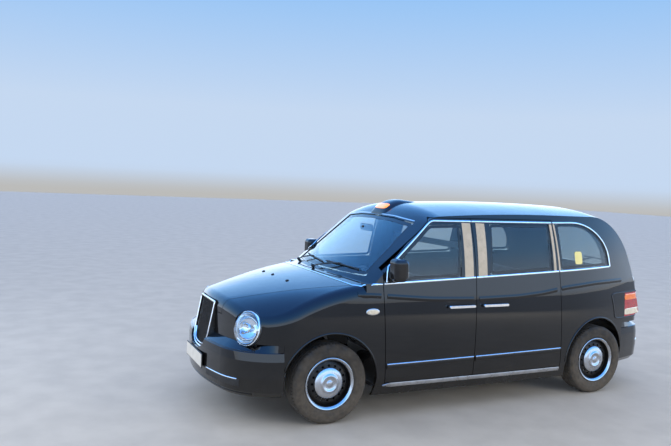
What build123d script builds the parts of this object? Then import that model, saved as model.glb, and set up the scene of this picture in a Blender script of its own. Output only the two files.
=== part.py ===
from build123d import *
import os
from math import acos, asin, atan2, cos, degrees, hypot, pi, radians, sin, sqrt, tan

os.makedirs("parts", exist_ok=True)

# Taxi cab. Millimetres, +X forward, +Y to its left, +Z up, the ground at z = 0 and
# x = 0 halfway between the bumpers.

# Overall sizes
overall_length = 4857.0
body_width = 1874.0
overall_height = 1888.0
wheelbase = 2985.0
front_axle_x = 1500.0
rear_axle_x = front_axle_x - wheelbase
track = 1590.0
bumper_front_x = overall_length / 2
bumper_rear_x = -overall_length / 2
half_width = body_width / 2

# Plan curve of the body: flank, haunch, corners and ends, each an arc
flank_radius = 60000.0
haunch_x = -1000.0
haunch_radius = 4200.0
nose_x = 2335.0
nose_radius = 1800.0
nose_corner = 480.0
tail_x = -2352.0
tail_radius = 2600.0
tail_corner = 230.0
front_bumper_radius = 2000.0
front_bumper_corner = 500.0
rear_bumper_radius = 2700.0
rear_bumper_corner = 300.0
bumper_flange = 100.0

# Height profile of the flank
sill_low_z = 205.0
sill_low_tuck = 57.0
sill_high_z = 350.0
sill_high_tuck = 12.0
waist_z = 690.0
shoulder_z = 1110.0
shoulder_tuck = 25.0
tumblehome_radius = 2600.0
tail_round = 70.0

# Longitudinal curve of the cab: windscreen, roof and rear screen
screen_base_x = 1318.0
screen_base_z = 1187.0
screen_slope = 39.6
header_radius = 350.0
roof_apex_x = -700.0
roof_radius = 20000.0
rear_arc_radius = 600.0
rear_base_x = -2158.0
rear_base_z = 1180.0
rear_slope = 69.0
crown_radius = 3000.0
cab_foot_z = 900.0
nose_round = 110.0

# Sections of the bonnet and wing tops: x, height on the centre line, half width and
# height of the crown's edge, and height at the far edge
top_reach = 1000.0
top_sections = (
    (1100.0, 1232.0, 820.0, 1184.0, 1140.0),
    (1600.0, 1158.0, 640.0, 1120.0, 1020.0),
    (2050.0, 1062.0, 390.0, 1040.0, 740.0),
    (2480.0, 945.0, 200.0, 932.0, 380.0),
)

# Walls, gaps and glass
skin = 20.0
skin_gap = 5.0
door_depth = 90.0
frame_depth = 96.0
shut_gap = 6.0
seal_lap = 30.0
seal_gap = 12.0
panel = 25.0
glass_thickness = 6.0
glass_set_back = 8.0
seat_gap = 0.3

# Shut lines and windows, as seen from the side
door_front_low_x = 985.0
door_front_x = 1036.0
belt_front_z = 1170.0
split_x = 68.0
door_rear_x = -930.0
door_rear_low_x = -985.0
door_low_z = 318.0
door_top_z = 1745.0
pillar_low_x = 1025.0
pillar_low_z = 1300.0
pillar_top_x = 548.0
pillar_top_z = 1706.0
belt_rise = 0.04

# Wheels
tyre_radius = 343.0
tyre_width = 215.0
rim_radius = 203.0
arch_radius = 425.0
wheel_y = track / 2
kingpin_y = 745.0


def polygon(points):
    # A flat face with the given corners
    return make_face(Polyline(points + [points[0]]))


def side_prism(outline, near_y=300, far_y=1300):
    # A block through the left flank, its outline given as (x, z) corners
    face = polygon([(x, near_y, z) for x, z in outline])
    return extrude(face, amount=far_y - near_y, dir=(0, 1, 0))


def end_prism(outline, near_x, far_x):
    # A block along X, its outline given as (y, z) corners
    face = polygon([(near_x, y, z) for y, z in outline])
    return extrude(face, amount=far_x - near_x, dir=(1, 0, 0))


def block(x_low, x_high, y_low, y_high, z_low, z_high):
    size = (x_high - x_low, y_high - y_low, z_high - z_low)
    middle = ((x_high + x_low) / 2, (y_high + y_low) / 2, (z_high + z_low) / 2)
    return Pos(*middle) * Box(*size)


def rod_y(x, z, radius, y_low, y_high):
    # A round bar along Y
    return Pos(x, (y_low + y_high) / 2, z) * Rot(90, 0, 0) * Cylinder(radius, y_high - y_low)


def other_side(shape):
    return mirror(shape, about=Plane.XZ)


def plan_arcs(end_x, end_radius, corner_radius, sign):
    # Arcs of the left half of an end, from the flank to the centre line, as
    # (centre x, centre y, radius, first angle, last angle); sign is +1 at the nose
    far_y = half_width - flank_radius
    end_centre = end_x - sign * end_radius
    if sign > 0:
        side_centre = (0.0, far_y)
        side_radius = flank_radius
    else:
        turn = asin(haunch_x / flank_radius)
        reach = flank_radius - haunch_radius
        side_centre = (reach * sin(turn), far_y + reach * cos(turn))
        side_radius = haunch_radius
    # the corner's centre lies at known distances from both other centres
    a = side_radius - corner_radius
    b = end_radius - corner_radius
    dx = end_centre - side_centre[0]
    dy = -side_centre[1]
    gap = hypot(dx, dy)
    along = (a * a - b * b + gap * gap) / (2 * gap)
    across = sqrt(a * a - along * along)
    ux, uy = dx / gap, dy / gap
    options = []
    for turn in (1, -1):
        options.append((side_centre[0] + along * ux - turn * across * uy,
                        side_centre[1] + along * uy + turn * across * ux))
    corner = max(options, key=lambda point: sign * point[0])
    side_angle = degrees(atan2(corner[1] - side_centre[1], corner[0] - side_centre[0]))
    end_angle = degrees(atan2(corner[1], corner[0] - end_centre))
    middle_angle = 0.0 if sign > 0 else 180.0
    arcs = []
    if sign > 0:
        arcs.append((side_centre[0], side_centre[1], side_radius, 90.0, side_angle))
    else:
        join = 90.0 - degrees(asin(haunch_x / flank_radius))
        arcs.append((0.0, far_y, flank_radius, 90.0, join))
        arcs.append((side_centre[0], side_centre[1], side_radius, join, side_angle))
    arcs.append((corner[0], corner[1], corner_radius, side_angle, end_angle))
    arcs.append((end_centre, 0.0, end_radius, end_angle, middle_angle))
    return arcs


def swept_half(face_at, arcs):
    # Left half of a form: the profile face turned about each arc's centre in turn
    solids = []
    for cx, cy, radius, first, last in arcs:
        axis = Axis((cx, cy, 0), (0, 0, 1))
        face = face_at(radius).moved(Location((cx, cy, 0)) * Location((0, 0, 0), (0, 0, 1), first))
        if last < first:
            face = face_at(radius).moved(Location((cx, cy, 0)) * Location((0, 0, 0), (0, 0, 1), last))
        solids.append(revolve(face, axis, abs(last - first)))
    return solids


def core_outline(arcs, depth):
    # Points inside a swept form, at a fixed depth behind its plan curve
    points = []
    for cx, cy, radius, first, last in arcs:
        steps = max(1, int(abs(last - first) / 12) + 1)
        for step in range(steps + 1):
            angle = radians(first + (last - first) * step / steps)
            reach = radius - depth
            point = (cx + reach * cos(angle), cy + reach * sin(angle))
            if not points or hypot(point[0] - points[-1][0], point[1] - points[-1][1]) > 1:
                points.append(point)
    return points


def flank_edges(inset, reach, top_z, rounded):
    # Edges of the flank's height profile; reach is the plan radius at the waist
    low = (reach - sill_low_tuck - inset, 0, sill_low_z)
    high = (reach - sill_high_tuck - inset, 0, sill_high_z)
    waist = (reach - inset, 0, waist_z)
    shoulder = (reach - shoulder_tuck - inset, 0, shoulder_z)
    edges = [Line(low, high), ThreePointArc(high, waist, shoulder)]
    lean = edges[-1].tangent_at(1)
    if rounded:
        inner = tail_round - inset if tail_round > inset + 5 else 5.0
        edges.append(TangentArc(shoulder, (shoulder[0] - inner, 0, shoulder_z + inner), tangent=lean))
    else:
        turn = atan2(-lean.X, lean.Z)
        arc = JernArc(start=(shoulder[0], shoulder[2]), tangent=(lean.X, lean.Z),
                      radius=tumblehome_radius,
                      arc_size=degrees(asin((top_z - shoulder_z) / tumblehome_radius + sin(turn)) - turn))
        edges.append(arc.moved(Location(Plane.XZ)))
    return edges


def flank_face(inset, reach, depth, top_z, rounded):
    edges = flank_edges(inset, reach, top_z, rounded)
    first = edges[0].position_at(0)
    last = edges[-1].position_at(1)
    inner = reach - depth
    edges.append(Polyline([last, (inner, 0, last.Z), (inner, 0, first.Z), first]))
    return make_face(edges)


def swept_form(end_x, end_radius, corner_radius, sign, inset, top_z, rounded, depth):
    arcs = plan_arcs(end_x, end_radius, corner_radius, sign)
    solids = swept_half(lambda reach: flank_face(inset, reach, depth, top_z, rounded), arcs)
    last = flank_edges(inset, 1000.0, top_z, rounded)[-1].position_at(1)
    points = core_outline(arcs, depth - 60)
    outline = [(x, y, sill_low_z) for x, y in points[:-1]]
    outline.append((points[-1][0], 0, sill_low_z))
    outline.append((0, 0, sill_low_z))
    core = extrude(polygon(outline), amount=last.Z - sill_low_z, dir=(0, 0, 1))
    half = solids[0].fuse(*solids[1:], core)
    return half + other_side(half)


def arc_round(centre, radius, start, end):
    # The shorter arc between two points of a circle in the plane y = 0
    middle = ((start[0] + end[0]) / 2 - centre[0], (start[1] + end[1]) / 2 - centre[1])
    scale = radius / hypot(*middle)
    through = (centre[0] + middle[0] * scale, 0, centre[1] + middle[1] * scale)
    return ThreePointArc((start[0], 0, start[1]), through, (end[0], 0, end[1]))


def screen_blend(sign, base_x, base_z, slope, radius, inset):
    # Round from a sloping screen to the roof: its two ends, its centre and the screen's foot
    turn = radians(slope)
    out = (sign * sin(turn), cos(turn))
    down = (sign * cos(turn), -sin(turn))
    roof_centre = (roof_apex_x, overall_height - roof_radius)
    reach = roof_radius - radius
    off = (base_x - roof_centre[0]) * out[0] + (base_z - roof_centre[1]) * out[1] - radius
    along = -sqrt(reach * reach - off * off)
    centre = (roof_centre[0] + off * out[0] + along * down[0],
              roof_centre[1] + off * out[1] + along * down[1])
    small = radius - inset
    low = (centre[0] + small * out[0], centre[1] + small * out[1])
    scale = (roof_radius - inset) / reach
    high = (roof_centre[0] + (centre[0] - roof_centre[0]) * scale,
            roof_centre[1] + (centre[1] - roof_centre[1]) * scale)
    drop = (low[1] - cab_foot_z) / sin(turn)
    foot = (low[0] + down[0] * drop, cab_foot_z)
    return low, high, centre, foot


def cab_profile(inset):
    # Side view of the cab's centre line, closed below, moved in by the wall's depth
    low, high, centre, foot = screen_blend(1, screen_base_x, screen_base_z, screen_slope, header_radius, inset)
    back_low, back_high, back_centre, back_foot = screen_blend(
        -1, rear_base_x, rear_base_z, rear_slope, rear_arc_radius, inset)
    roof_centre = (roof_apex_x, overall_height - roof_radius)
    return make_face([
        Line((foot[0], 0, foot[1]), (low[0], 0, low[1])),
        arc_round(centre, header_radius - inset, low, high),
        arc_round(roof_centre, roof_radius - inset, high, back_high),
        arc_round(back_centre, rear_arc_radius - inset, back_high, back_low),
        Line((back_low[0], 0, back_low[1]), (back_foot[0], 0, back_foot[1])),
        Line((back_foot[0], 0, back_foot[1]), (foot[0], 0, foot[1]))])


def cab_flank(inset):
    # Everything to the right of the left flank's surface, as high as the roof and beyond
    arcs = plan_arcs(tail_x, tail_radius, tail_corner, -1)[:2]
    back = arcs[1]
    arcs[1] = (back[0], back[1], back[2], back[3], back[3] + 28.0)
    arcs.insert(0, (0.0, half_width - flank_radius, flank_radius, 90.0, 88.2))
    solids = swept_half(lambda reach: flank_face(inset, reach, 2 * body_width, 1950, False), arcs)
    return solids[0].fuse(*solids[1:])


def cab_form(inset):
    # The greenhouse: both flanks cut by the long curve turned across the car
    axis = Axis((0, 0, overall_height - crown_radius), (1, 0, 0))
    span = 24.0
    long_form = revolve(cab_profile(inset).rotate(axis, -span), axis, 2 * span)
    left = cab_flank(inset)
    return left & other_side(left) & long_form


def front_top(inset):
    # Everything below the bonnet and wing tops: sections with a crown and two falling wings
    sections = []
    for x, crown_z, edge_y, edge_z, wing_z in top_sections:
        crown = ThreePointArc((x, edge_y, edge_z - inset), (x, 0, crown_z - inset), (x, -edge_y, edge_z - inset))
        left = TangentArc((x, edge_y, edge_z - inset), (x, top_reach, wing_z - inset), tangent=-crown.tangent_at(0))
        right = TangentArc((x, -edge_y, edge_z - inset), (x, -top_reach, wing_z - inset), tangent=crown.tangent_at(1))
        floor = Polyline((x, top_reach, wing_z - inset), (x, top_reach, 0), (x, -top_reach, 0),
                         (x, -top_reach, wing_z - inset))
        sections.append(make_face([crown, left, right, *floor.edges()]))
    return loft(sections)


def front_form(inset):
    # Nose, wings and bonnet, with the edge over the nose rounded
    swept = swept_form(nose_x, nose_radius, nose_corner, 1, inset, 1300, False, 400)
    form = swept & front_top(inset)
    rim = [edge for edge in form.edges()
           if edge.center().X > 1950 and edge.center().Z > 650 and edge.geom_type != GeomType.CIRCLE]
    return fillet(rim, nose_round - inset)


def body_form(inset, nose=True):
    # The whole outer form of the body, moved in by a wall's depth
    cab = cab_form(inset)
    tail = swept_form(tail_x, tail_radius, tail_corner, -1, inset, shoulder_z, True, 200)
    middle = swept_form(nose_x, nose_radius, nose_corner, 1, inset, 1300, False, 400)
    middle = middle & block(-1, 1200, -1200, 1200, 0, shoulder_z + tail_round - inset)
    body = cab.fuse(tail).fuse(middle)
    return body.fuse(front_form(inset)) if nose else body


def ring_y(x, z, outer, inner, y_low, y_high):
    return rod_y(x, z, outer, y_low, y_high) - rod_y(x, z, inner, y_low, y_high)


def grown(outline, amount):
    # The outline with each side moved out by an amount, or in where it is negative
    count = len(outline)
    area = sum(outline[k - 1][0] * outline[k][1] - outline[k][0] * outline[k - 1][1] for k in range(count))
    side = amount if area > 0 else -amount
    moved = []
    for k in range(count):
        (ax, az), (bx, bz), (cx, cz) = outline[k - 1], outline[k], outline[(k + 1) % count]
        first = hypot(bx - ax, bz - az)
        second = hypot(cx - bx, cz - bz)
        ux, uz = (bx - ax) / first, (bz - az) / first
        vx, vz = (cx - bx) / second, (cz - bz) / second
        along = side * (1 - ux * vx - uz * vz) / (ux * vz - uz * vx)
        moved.append((bx + uz * side + ux * along, bz - ux * side + uz * along))
    return moved


def belt_z(x):
    # Height of the belt line under the windows
    return belt_front_z + belt_rise * (door_front_x - x)


def plan_prism(outline, low_z, high_z):
    # An upright block, its outline given as (x, y) corners
    return extrude(polygon([(x, y, low_z) for x, y in outline]), amount=high_z - low_z, dir=(0, 0, 1))


def low_form(inset):
    # The body below the belt, without the cab
    nose = swept_form(nose_x, nose_radius, nose_corner, 1, inset, 1300, False, 400)
    tail = swept_form(tail_x, tail_radius, tail_corner, -1, inset, shoulder_z, True, 200)
    return (nose & block(-1, 2500, -1200, 1200, 0, shoulder_z + 40.0)).fuse(tail)


def both(shape):
    # A left piece and its twin on the right, as one node
    return Compound(children=[*shape.solids(), *other_side(shape).solids()])


def keep(name, shape):
    export_step(shape, os.path.join("parts", name + ".step"))


# Forms at the depths where walls begin and end
outer = body_form(0)
skin_back = body_form(skin)
seal_back = body_form(skin + skin_gap - seat_gap)
pocket_floor = body_form(skin + skin_gap)
thin_back = body_form(skin + skin_gap + panel)
door_back = body_form(door_depth, nose=False)
frame_back = body_form(frame_depth, nose=False)
pane_out = cab_form(glass_set_back)
pane_in = cab_form(glass_set_back + glass_thickness)
room_low = low_form(frame_depth + seat_gap)
room_high = cab_form(frame_depth + seat_gap)
roof_seat = cab_form(-seat_gap)

# Door, window and lid outlines: from the side as (x, z), from behind as (y, z) and
# from above as (x, y)
front_door_outline = [
    (door_front_low_x, door_low_z),
    (door_front_x, belt_front_z),
    (pillar_low_x, pillar_low_z),
    (pillar_top_x, pillar_top_z),
    (pillar_top_x - 42.0, door_top_z),
    (split_x + shut_gap / 2, door_top_z),
    (split_x + shut_gap / 2, door_low_z),
]
rear_door_outline = [
    (split_x - shut_gap / 2, door_low_z),
    (split_x - shut_gap / 2, door_top_z),
    (door_rear_x + 22.0, door_top_z),
    (door_rear_low_x, door_low_z),
]
front_window = [
    (972.0, belt_z(972.0) + 28.0),
    (952.0, pillar_low_z + 25.0),
    (532.0, 1682.0),
    (195.0, 1692.0),
    (232.0, belt_z(232.0) + 22.0),
]
rear_window = [
    (-92.0, belt_z(-92.0) + 22.0),
    (-136.0, 1700.0),
    (-868.0, 1704.0),
    (-852.0, belt_z(-852.0) + 22.0),
]
quarter_front_x = -960.0
quarter_tail_x = -1668.0
quarter_top_z = 1716.0
quarter_bend_x = -1180.0
quarter_steps = 6
quarter_window = [
    (quarter_front_x, belt_z(quarter_front_x) + 24.0),
    (quarter_front_x, quarter_top_z),
]
for step in range(quarter_steps + 1):
    turn = radians(90.0 * step / quarter_steps)
    quarter_window.append((quarter_bend_x - (quarter_bend_x - quarter_tail_x) * sin(turn),
                           belt_z(quarter_tail_x) + 70.0
                           + (quarter_top_z - belt_z(quarter_tail_x) - 70.0) * cos(turn)))
quarter_window.append((quarter_tail_x, belt_z(quarter_tail_x) + 18.0))
screen_outline = [
    (-738.0, 1222.0), (738.0, 1222.0), (655.0, 1692.0), (330.0, 1724.0), (0.0, 1732.0),
    (-330.0, 1724.0), (-655.0, 1692.0),
]
gate_half = 594.0
gate_low_z = 700.0
gate_top_z = 1840.0
gate_front_x = -1745.0
gate_outline = [
    (-gate_half, gate_low_z), (gate_half, gate_low_z), (gate_half, 1230.0), (498.0, gate_top_z),
    (-498.0, gate_top_z), (-gate_half, 1230.0),
]
rear_screen_outline = [(-505.0, 1236.0), (505.0, 1236.0), (425.0, 1690.0), (-425.0, 1690.0)]
bonnet_rear_x = 1302.0
bonnet_rear_bow = 95.0
bonnet_rear_half = 792.0
bonnet_front_half = 330.0
bonnet_lip_z = 872.0
bonnet_front_x = 2500.0
bonnet_steps = 8
bonnet_outline = [(bonnet_front_x, bonnet_front_half), (2230.0, bonnet_front_half + 18.0)]
for step in range(bonnet_steps + 1):
    share = 1 - 2 * step / bonnet_steps
    bonnet_outline.append((bonnet_rear_x + bonnet_rear_bow * (1 - share * share), bonnet_rear_half * share))
bonnet_outline.append((2230.0, -bonnet_front_half - 18.0))
bonnet_outline.append((bonnet_front_x, -bonnet_front_half))

# Grille: a tall shield leaning back
grille_low_x = 2402.0
grille_low_z = 520.0
grille_top_x = 2320.0
grille_top_z = 957.0
grille_top_half = 228.0
grille_waist_half = 222.0
grille_low_half = 150.0
grille_rim = 22.0
grille_depth = 70.0
slat_count = 15
slat_width = 7.0
slat_depth = 26.0


def grille_outline():
    # Shield as (y, height along the slope) corners
    tall = hypot(grille_top_x - grille_low_x, grille_top_z - grille_low_z)
    return [(-grille_top_half, tall), (-grille_waist_half, 0.32 * tall), (-grille_low_half - 45, 0.13 * tall),
            (-grille_low_half + 20, 0.03 * tall), (-60.0, 0.0), (60.0, 0.0), (grille_low_half - 20, 0.03 * tall),
            (grille_low_half + 45, 0.13 * tall), (grille_waist_half, 0.32 * tall), (grille_top_half, tall)]


def grille_prism(outline, front, back):
    # The shield's outline given depth, square to its slope
    rise = Vector(grille_top_x - grille_low_x, 0, grille_top_z - grille_low_z).normalized()
    plane = Plane(origin=(grille_low_x, 0, grille_low_z), x_dir=(0, 1, 0), z_dir=Vector(0, 1, 0).cross(rise))
    face = make_face(Polyline([plane.from_local_coords((y, h, 0)) for y, h in outline + [outline[0]]]))
    out = plane.z_dir if plane.z_dir.X > 0 else -plane.z_dir
    return extrude(face.moved(Location(-out * back)), amount=front + back, dir=out)


def gutter(shape, pocket, opening):
    # Cut a lid's pocket and the opening under it out of the wall that carries the lid
    return shape - (pocket - pocket_floor) - opening


def lid(prism, ring, gap_ring, back):
    # A lid's skin with its seal, and a deeper body inside the seal
    leaf = (outer & prism) - back
    leaf = leaf - (seal_back & ring)
    return leaf - (skin_back & gap_ring)


def door(outline, window, handle_x):
    prism = side_prism(outline)
    inside = side_prism(grown(outline, -seal_lap + 6.0))
    filling = side_prism(grown(outline, -seal_lap - seal_gap))
    far = side_prism(grown(outline, 5.0))
    leaf = lid(prism, far - inside, inside - filling, door_back)
    upper = block(-3000, 3000, 0, 1300, shoulder_z + tail_round, 2000)
    leaf = leaf - (thin_flank & upper) - side_prism(window)
    leaf = leaf - (seal_flank & upper & (far - inside)) - (skin_flank & upper & (inside - filling))
    grip = Pos(handle_x, half_width + 2.0, handle_z) * Box(282.0, 44.0, 26.0)
    grip = fillet(grip.edges().filter_by(Axis.Y), 12.0)
    hollow = Pos(handle_x, half_width - 1.0, handle_z) * Box(200.0, 22.0, 60.0)
    return leaf + (grip - hollow)


handle_z = 962.0
skin_flank = cab_flank(skin)
seal_flank = cab_flank(skin + skin_gap - seat_gap)
thin_flank = cab_flank(skin + skin_gap + panel)
front_door = door(front_door_outline, front_window, 242.0)
rear_door = door(rear_door_outline, rear_window, -136.0)
keep("front_left_door", front_door)
keep("front_right_door", other_side(front_door))
keep("rear_left_door", rear_door)
keep("rear_right_door", other_side(rear_door))


def pane(prism):
    return (pane_out & prism) - pane_in


front_glass = pane(side_prism(grown(front_window, -seat_gap)))
rear_glass = pane(side_prism(grown(rear_window, -seat_gap)))
quarter_glass = pane(side_prism(grown(quarter_window, -seat_gap)))
keep("front_left_door_glass", front_glass)
keep("front_right_door_glass", other_side(front_glass))
keep("rear_left_door_glass", rear_glass)
keep("rear_right_door_glass", other_side(rear_glass))
keep("quarter_glass", both(quarter_glass))
keep("windscreen", pane(end_prism(grown(screen_outline, -seat_gap), 300, 1600)))
keep("rear_screen", pane(end_prism(grown(rear_screen_outline, -seat_gap), -2600, -1500)))

# Room for the bonnet, cut out of each wall round it
bonnet_prism = plan_prism(bonnet_outline, bonnet_lip_z, 1300)
bonnet_pocket = plan_prism(grown(bonnet_outline, shut_gap), bonnet_lip_z - shut_gap, 1300)
bonnet_opening = pocket_floor & plan_prism(grown(bonnet_outline, -seal_lap), bonnet_lip_z - 60.0, 1300)

# Side frame: the whole wall from hinge post to tail, with door openings
frame_inner_y = 560.0
bumper_top_z = 690.0
rear_bumper_front_x = -1905.0
front_bumper_rear_x = 1922.0
frame_outline = [
    (-2600.0, bumper_top_z),
    (rear_bumper_front_x, bumper_top_z),
    (rear_bumper_front_x, tyre_radius),
    (rear_axle_x, tyre_radius),
    (rear_axle_x, sill_low_z),
    (door_front_low_x + shut_gap, sill_low_z),
    (door_front_low_x + shut_gap, door_low_z),
    (door_front_x + shut_gap, belt_front_z),
    (1460.0, belt_front_z),
    (1460.0, 1752.0),
    (-2600.0, 1752.0),
]
post_outline = [(950.0, door_low_z), (1038.0, door_low_z), (1038.0, 1150.0), (980.0, 1150.0)]


def gate_zone(amount):
    # The tailgate's outline moved out by an amount, in from behind and in plan
    return end_prism(grown(gate_outline, amount), -2600, gate_front_x + amount)


gate_pocket = gate_zone(shut_gap)
gate_opening = gate_zone(-seal_lap)
screen_opening = end_prism(screen_outline, 300, 1600)
wall = (outer & side_prism(frame_outline, frame_inner_y)) - frame_back
post = (pocket_floor & side_prism(post_outline, frame_inner_y)) - frame_back
wall = wall.fuse(post)
for outline in (front_door_outline, rear_door_outline):
    wall = gutter(wall, side_prism(grown(outline, shut_gap)), side_prism(grown(outline, -seal_lap)))
wall = gutter(wall, gate_pocket, gate_opening)
wall = gutter(wall, bonnet_pocket, bonnet_opening)
wall = wall - side_prism(quarter_window) - screen_opening
tub_wall = 12.0
tub_inner_y = 618.0
arch = rod_y(rear_axle_x, tyre_radius, arch_radius, 200, 1300)
tub = ring_y(rear_axle_x, tyre_radius, arch_radius + tub_wall, arch_radius, tub_inner_y, 880)
tub = tub + rod_y(rear_axle_x, tyre_radius, arch_radius + tub_wall, tub_inner_y - tub_wall, tub_inner_y)
tub = (tub & skin_back) - block(-3000, 0, 0, 1300, 0, 300)
tub = tub - block(-3000, rear_bumper_front_x, 0, 1300, 0, bumper_top_z)
axle_room = 60.0
tub = tub - block(rear_axle_x - axle_room, rear_axle_x + axle_room, 0, tub_inner_y + 1.0, 0, tyre_radius + axle_room)
tail_lamp_outline = [(646.0, 742.0), (846.0, 742.0), (846.0, 1010.0), (646.0, 1010.0)]
lamp_prism = end_prism(tail_lamp_outline, -2600, -1950)
side_frame = (wall - arch).fuse(tub) - end_prism(grown(tail_lamp_outline, seat_gap), -2600, -1950)
keep("left_side_frame", side_frame)
keep("right_side_frame", other_side(side_frame))
keep("tail_lamps", both((outer & lamp_prism) - skin_back))

# Roof
roof_zone = block(-2400, 1400, -1200, 1200, 1752.0 + seat_gap, 2000)
header_zone = block(300, 1400, -frame_inner_y + seat_gap, frame_inner_y - seat_gap, 1690, 1760)
roof_panel = (outer & roof_zone.fuse(header_zone)) - thin_back
roof_panel = gutter(roof_panel, gate_pocket, gate_opening) - screen_opening
keep("roof_panel", roof_panel)

# Tailgate
gate_inside = gate_zone(-seal_lap + 6.0)
gate_ring = gate_zone(5.0) - gate_inside
tailgate = lid(gate_zone(0.0), gate_ring, gate_inside - gate_zone(-seal_lap - seal_gap), thin_back)
tailgate = tailgate - end_prism(rear_screen_outline, -2600, -1500)
keep("tailgate", tailgate)

# Bonnet, wings and scuttle
bonnet_band = plan_prism(grown(bonnet_outline, 30.0), bonnet_lip_z - 40.0, 1300)
bonnet_inside = plan_prism(grown(bonnet_outline, -seal_lap + 6.0), bonnet_lip_z + 20.0, 1300)
bonnet = (outer & bonnet_prism) - skin_back
bonnet = bonnet.fuse((outer & (bonnet_prism - bonnet_inside)) - seal_back)
bonnet = bonnet - grille_prism(grown(grille_outline(), shut_gap), 60, 160)
keep("bonnet", bonnet)

wing_rear_x = door_front_low_x + shut_gap + seat_gap
wing_outline = [
    (wing_rear_x, sill_low_z), (wing_rear_x, door_low_z),
    (door_front_x + shut_gap + seat_gap, belt_front_z - seat_gap), (1460.0, belt_front_z - seat_gap),
    (1460.0, 1300.0), (2600.0, 1300.0), (2600.0, bumper_top_z), (front_bumper_rear_x, bumper_top_z),
    (front_bumper_rear_x, tyre_radius), (front_axle_x, tyre_radius), (front_axle_x, sill_low_z),
]
wing_zone = side_prism(wing_outline, 0.0)
wing = (outer & wing_zone) - seal_back
wing = wing.fuse((outer & wing_zone & bonnet_band) - thin_back)
wing = gutter(wing, bonnet_pocket, bonnet_opening)
wing = wing - block(1000, 1460, -10, frame_inner_y, 900, 1400)
front_arch = rod_y(front_axle_x, tyre_radius, arch_radius, 200, 1300)
liner_inner_y = 440.0
liner = ring_y(front_axle_x, tyre_radius, arch_radius + tub_wall, arch_radius, liner_inner_y, 900)
liner = liner + (rod_y(front_axle_x, tyre_radius, arch_radius + tub_wall, liner_inner_y - tub_wall, liner_inner_y)
                 - block(0, 3000, 0, 1300, 0, 560.0))
liner = (liner & skin_back) - block(0, 3000, 0, 1300, 0, 300)
liner = liner - block(front_bumper_rear_x, 3000, 0, 1300, 0, bumper_top_z)
wing = (wing - front_arch).fuse(liner)
wing = wing - grille_prism(grown(grille_outline(), seat_gap), 60, 160)
lamp_x = 2150.0
lamp_y = 668.0
lamp_z = 800.0
lamp_radius = 142.0
lamp_turn = 27.0
lamp_tilt = 12.0
lamp_place = Location((lamp_x, lamp_y, lamp_z)) * Location((0, 0, 0), (0, 0, 1), lamp_turn)
lamp_place = lamp_place * Location((0, 0, 0), (0, 1, 0), 90.0 - lamp_tilt)
socket = lamp_place * Cylinder(lamp_radius + seat_gap, 400.0)
wing = wing - socket
keep("front_wings", both(wing))

scuttle_zone = block(1045.0, 1460.0, -frame_inner_y + seat_gap, frame_inner_y - seat_gap, 1060.0, 1262.0)
scuttle = (outer & scuttle_zone) - seal_back
scuttle = scuttle.fuse((outer & scuttle_zone & bonnet_band) - thin_back)
scuttle = gutter(scuttle, bonnet_pocket, bonnet_opening) - screen_opening
shelf = block(1045.0, 1270.0, -frame_inner_y + seat_gap, frame_inner_y - seat_gap, 1150.0, 1178.0)
scuttle = scuttle.fuse(shelf)
bulkhead = room_low & block(1040.0, 1062.0, -900, 900, 295.0 + seat_gap, 1150.0)
scuttle = scuttle.fuse(bulkhead)
keep("scuttle", scuttle)

# Headlamps
dome = lamp_place * (Pos(0, 0, -230) * Sphere(300.0))
dome_in = lamp_place * (Pos(0, 0, -230) * Sphere(296.0))
barrel = lamp_place * (Pos(0, 0, -20) * Cylinder(lamp_radius, 200.0))
bowl_cut = lamp_place * (Pos(0, 0, 60) * Sphere(138.0))
lens = (barrel & dome) - dome_in
bowl = (barrel & dome_in) - bowl_cut
projector = lamp_place * (Pos(0, 0, -20) * Cylinder(34.0, 110.0))
keep("headlamp_lenses", both(lens))
keep("headlamp_bowls", both(bowl.fuse(projector)))

# Grille
shield = grille_outline()
frame = grille_prism(shield, 0, grille_depth) - grille_prism(grown(shield, -grille_rim), 10, grille_depth + 10)
tall = hypot(grille_top_x - grille_low_x, grille_top_z - grille_low_z)
slats = []
for index in range(slat_count):
    y = (index - (slat_count - 1) / 2) * (2 * (grille_top_half - grille_rim) / slat_count)
    slats.append(grille_prism([(y - slat_width / 2, 0), (y + slat_width / 2, 0),
                               (y + slat_width / 2, tall), (y - slat_width / 2, tall)], -8, 8 + slat_depth))
inside = grille_prism(grown(shield, -grille_rim + 4), 10, grille_depth + 10)
for slat in slats:
    frame = frame.fuse(slat & inside)
keep("grille", frame)


# Bumpers: hollow bars that follow the plan curve
def bumper_face(reach):
    outline = [(reach - 46, 262), (reach - 10, 305), (reach, 420), (reach - 2, 560), (reach - 12, 626),
               (reach - bumper_flange, bumper_top_z - seat_gap), (reach - bumper_flange, bumper_top_z - 28),
               (reach - 40, 612), (reach - 32, 420), (reach - 40, 320), (reach - 60, 290),
               (reach - bumper_flange, 290), (reach - bumper_flange, 262)]
    return polygon([(x, 0, z) for x, z in outline])


def bumper(end_x, end_radius, corner_radius, sign):
    solids = swept_half(bumper_face, plan_arcs(end_x, end_radius, corner_radius, sign))
    half = solids[0]
    for solid in solids[1:]:
        half = half.fuse(solid)
    return half + other_side(half)


front_bar = bumper(bumper_front_x, front_bumper_radius, front_bumper_corner, 1)
front_bar = front_bar & block(front_bumper_rear_x + seat_gap, 2600, -1200, 1200, 0, 1000)
front_bar = front_bar - grille_prism(grown(shield, seat_gap), 60, 200) - socket - other_side(socket)
keep("front_bumper", front_bar)
rear_bar = bumper(bumper_rear_x, rear_bumper_radius, rear_bumper_corner, -1)
rear_bar = rear_bar & block(-2600, rear_bumper_front_x - seat_gap, -1200, 1200, 0, 1000)
keep("rear_bumper", rear_bar)


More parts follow.
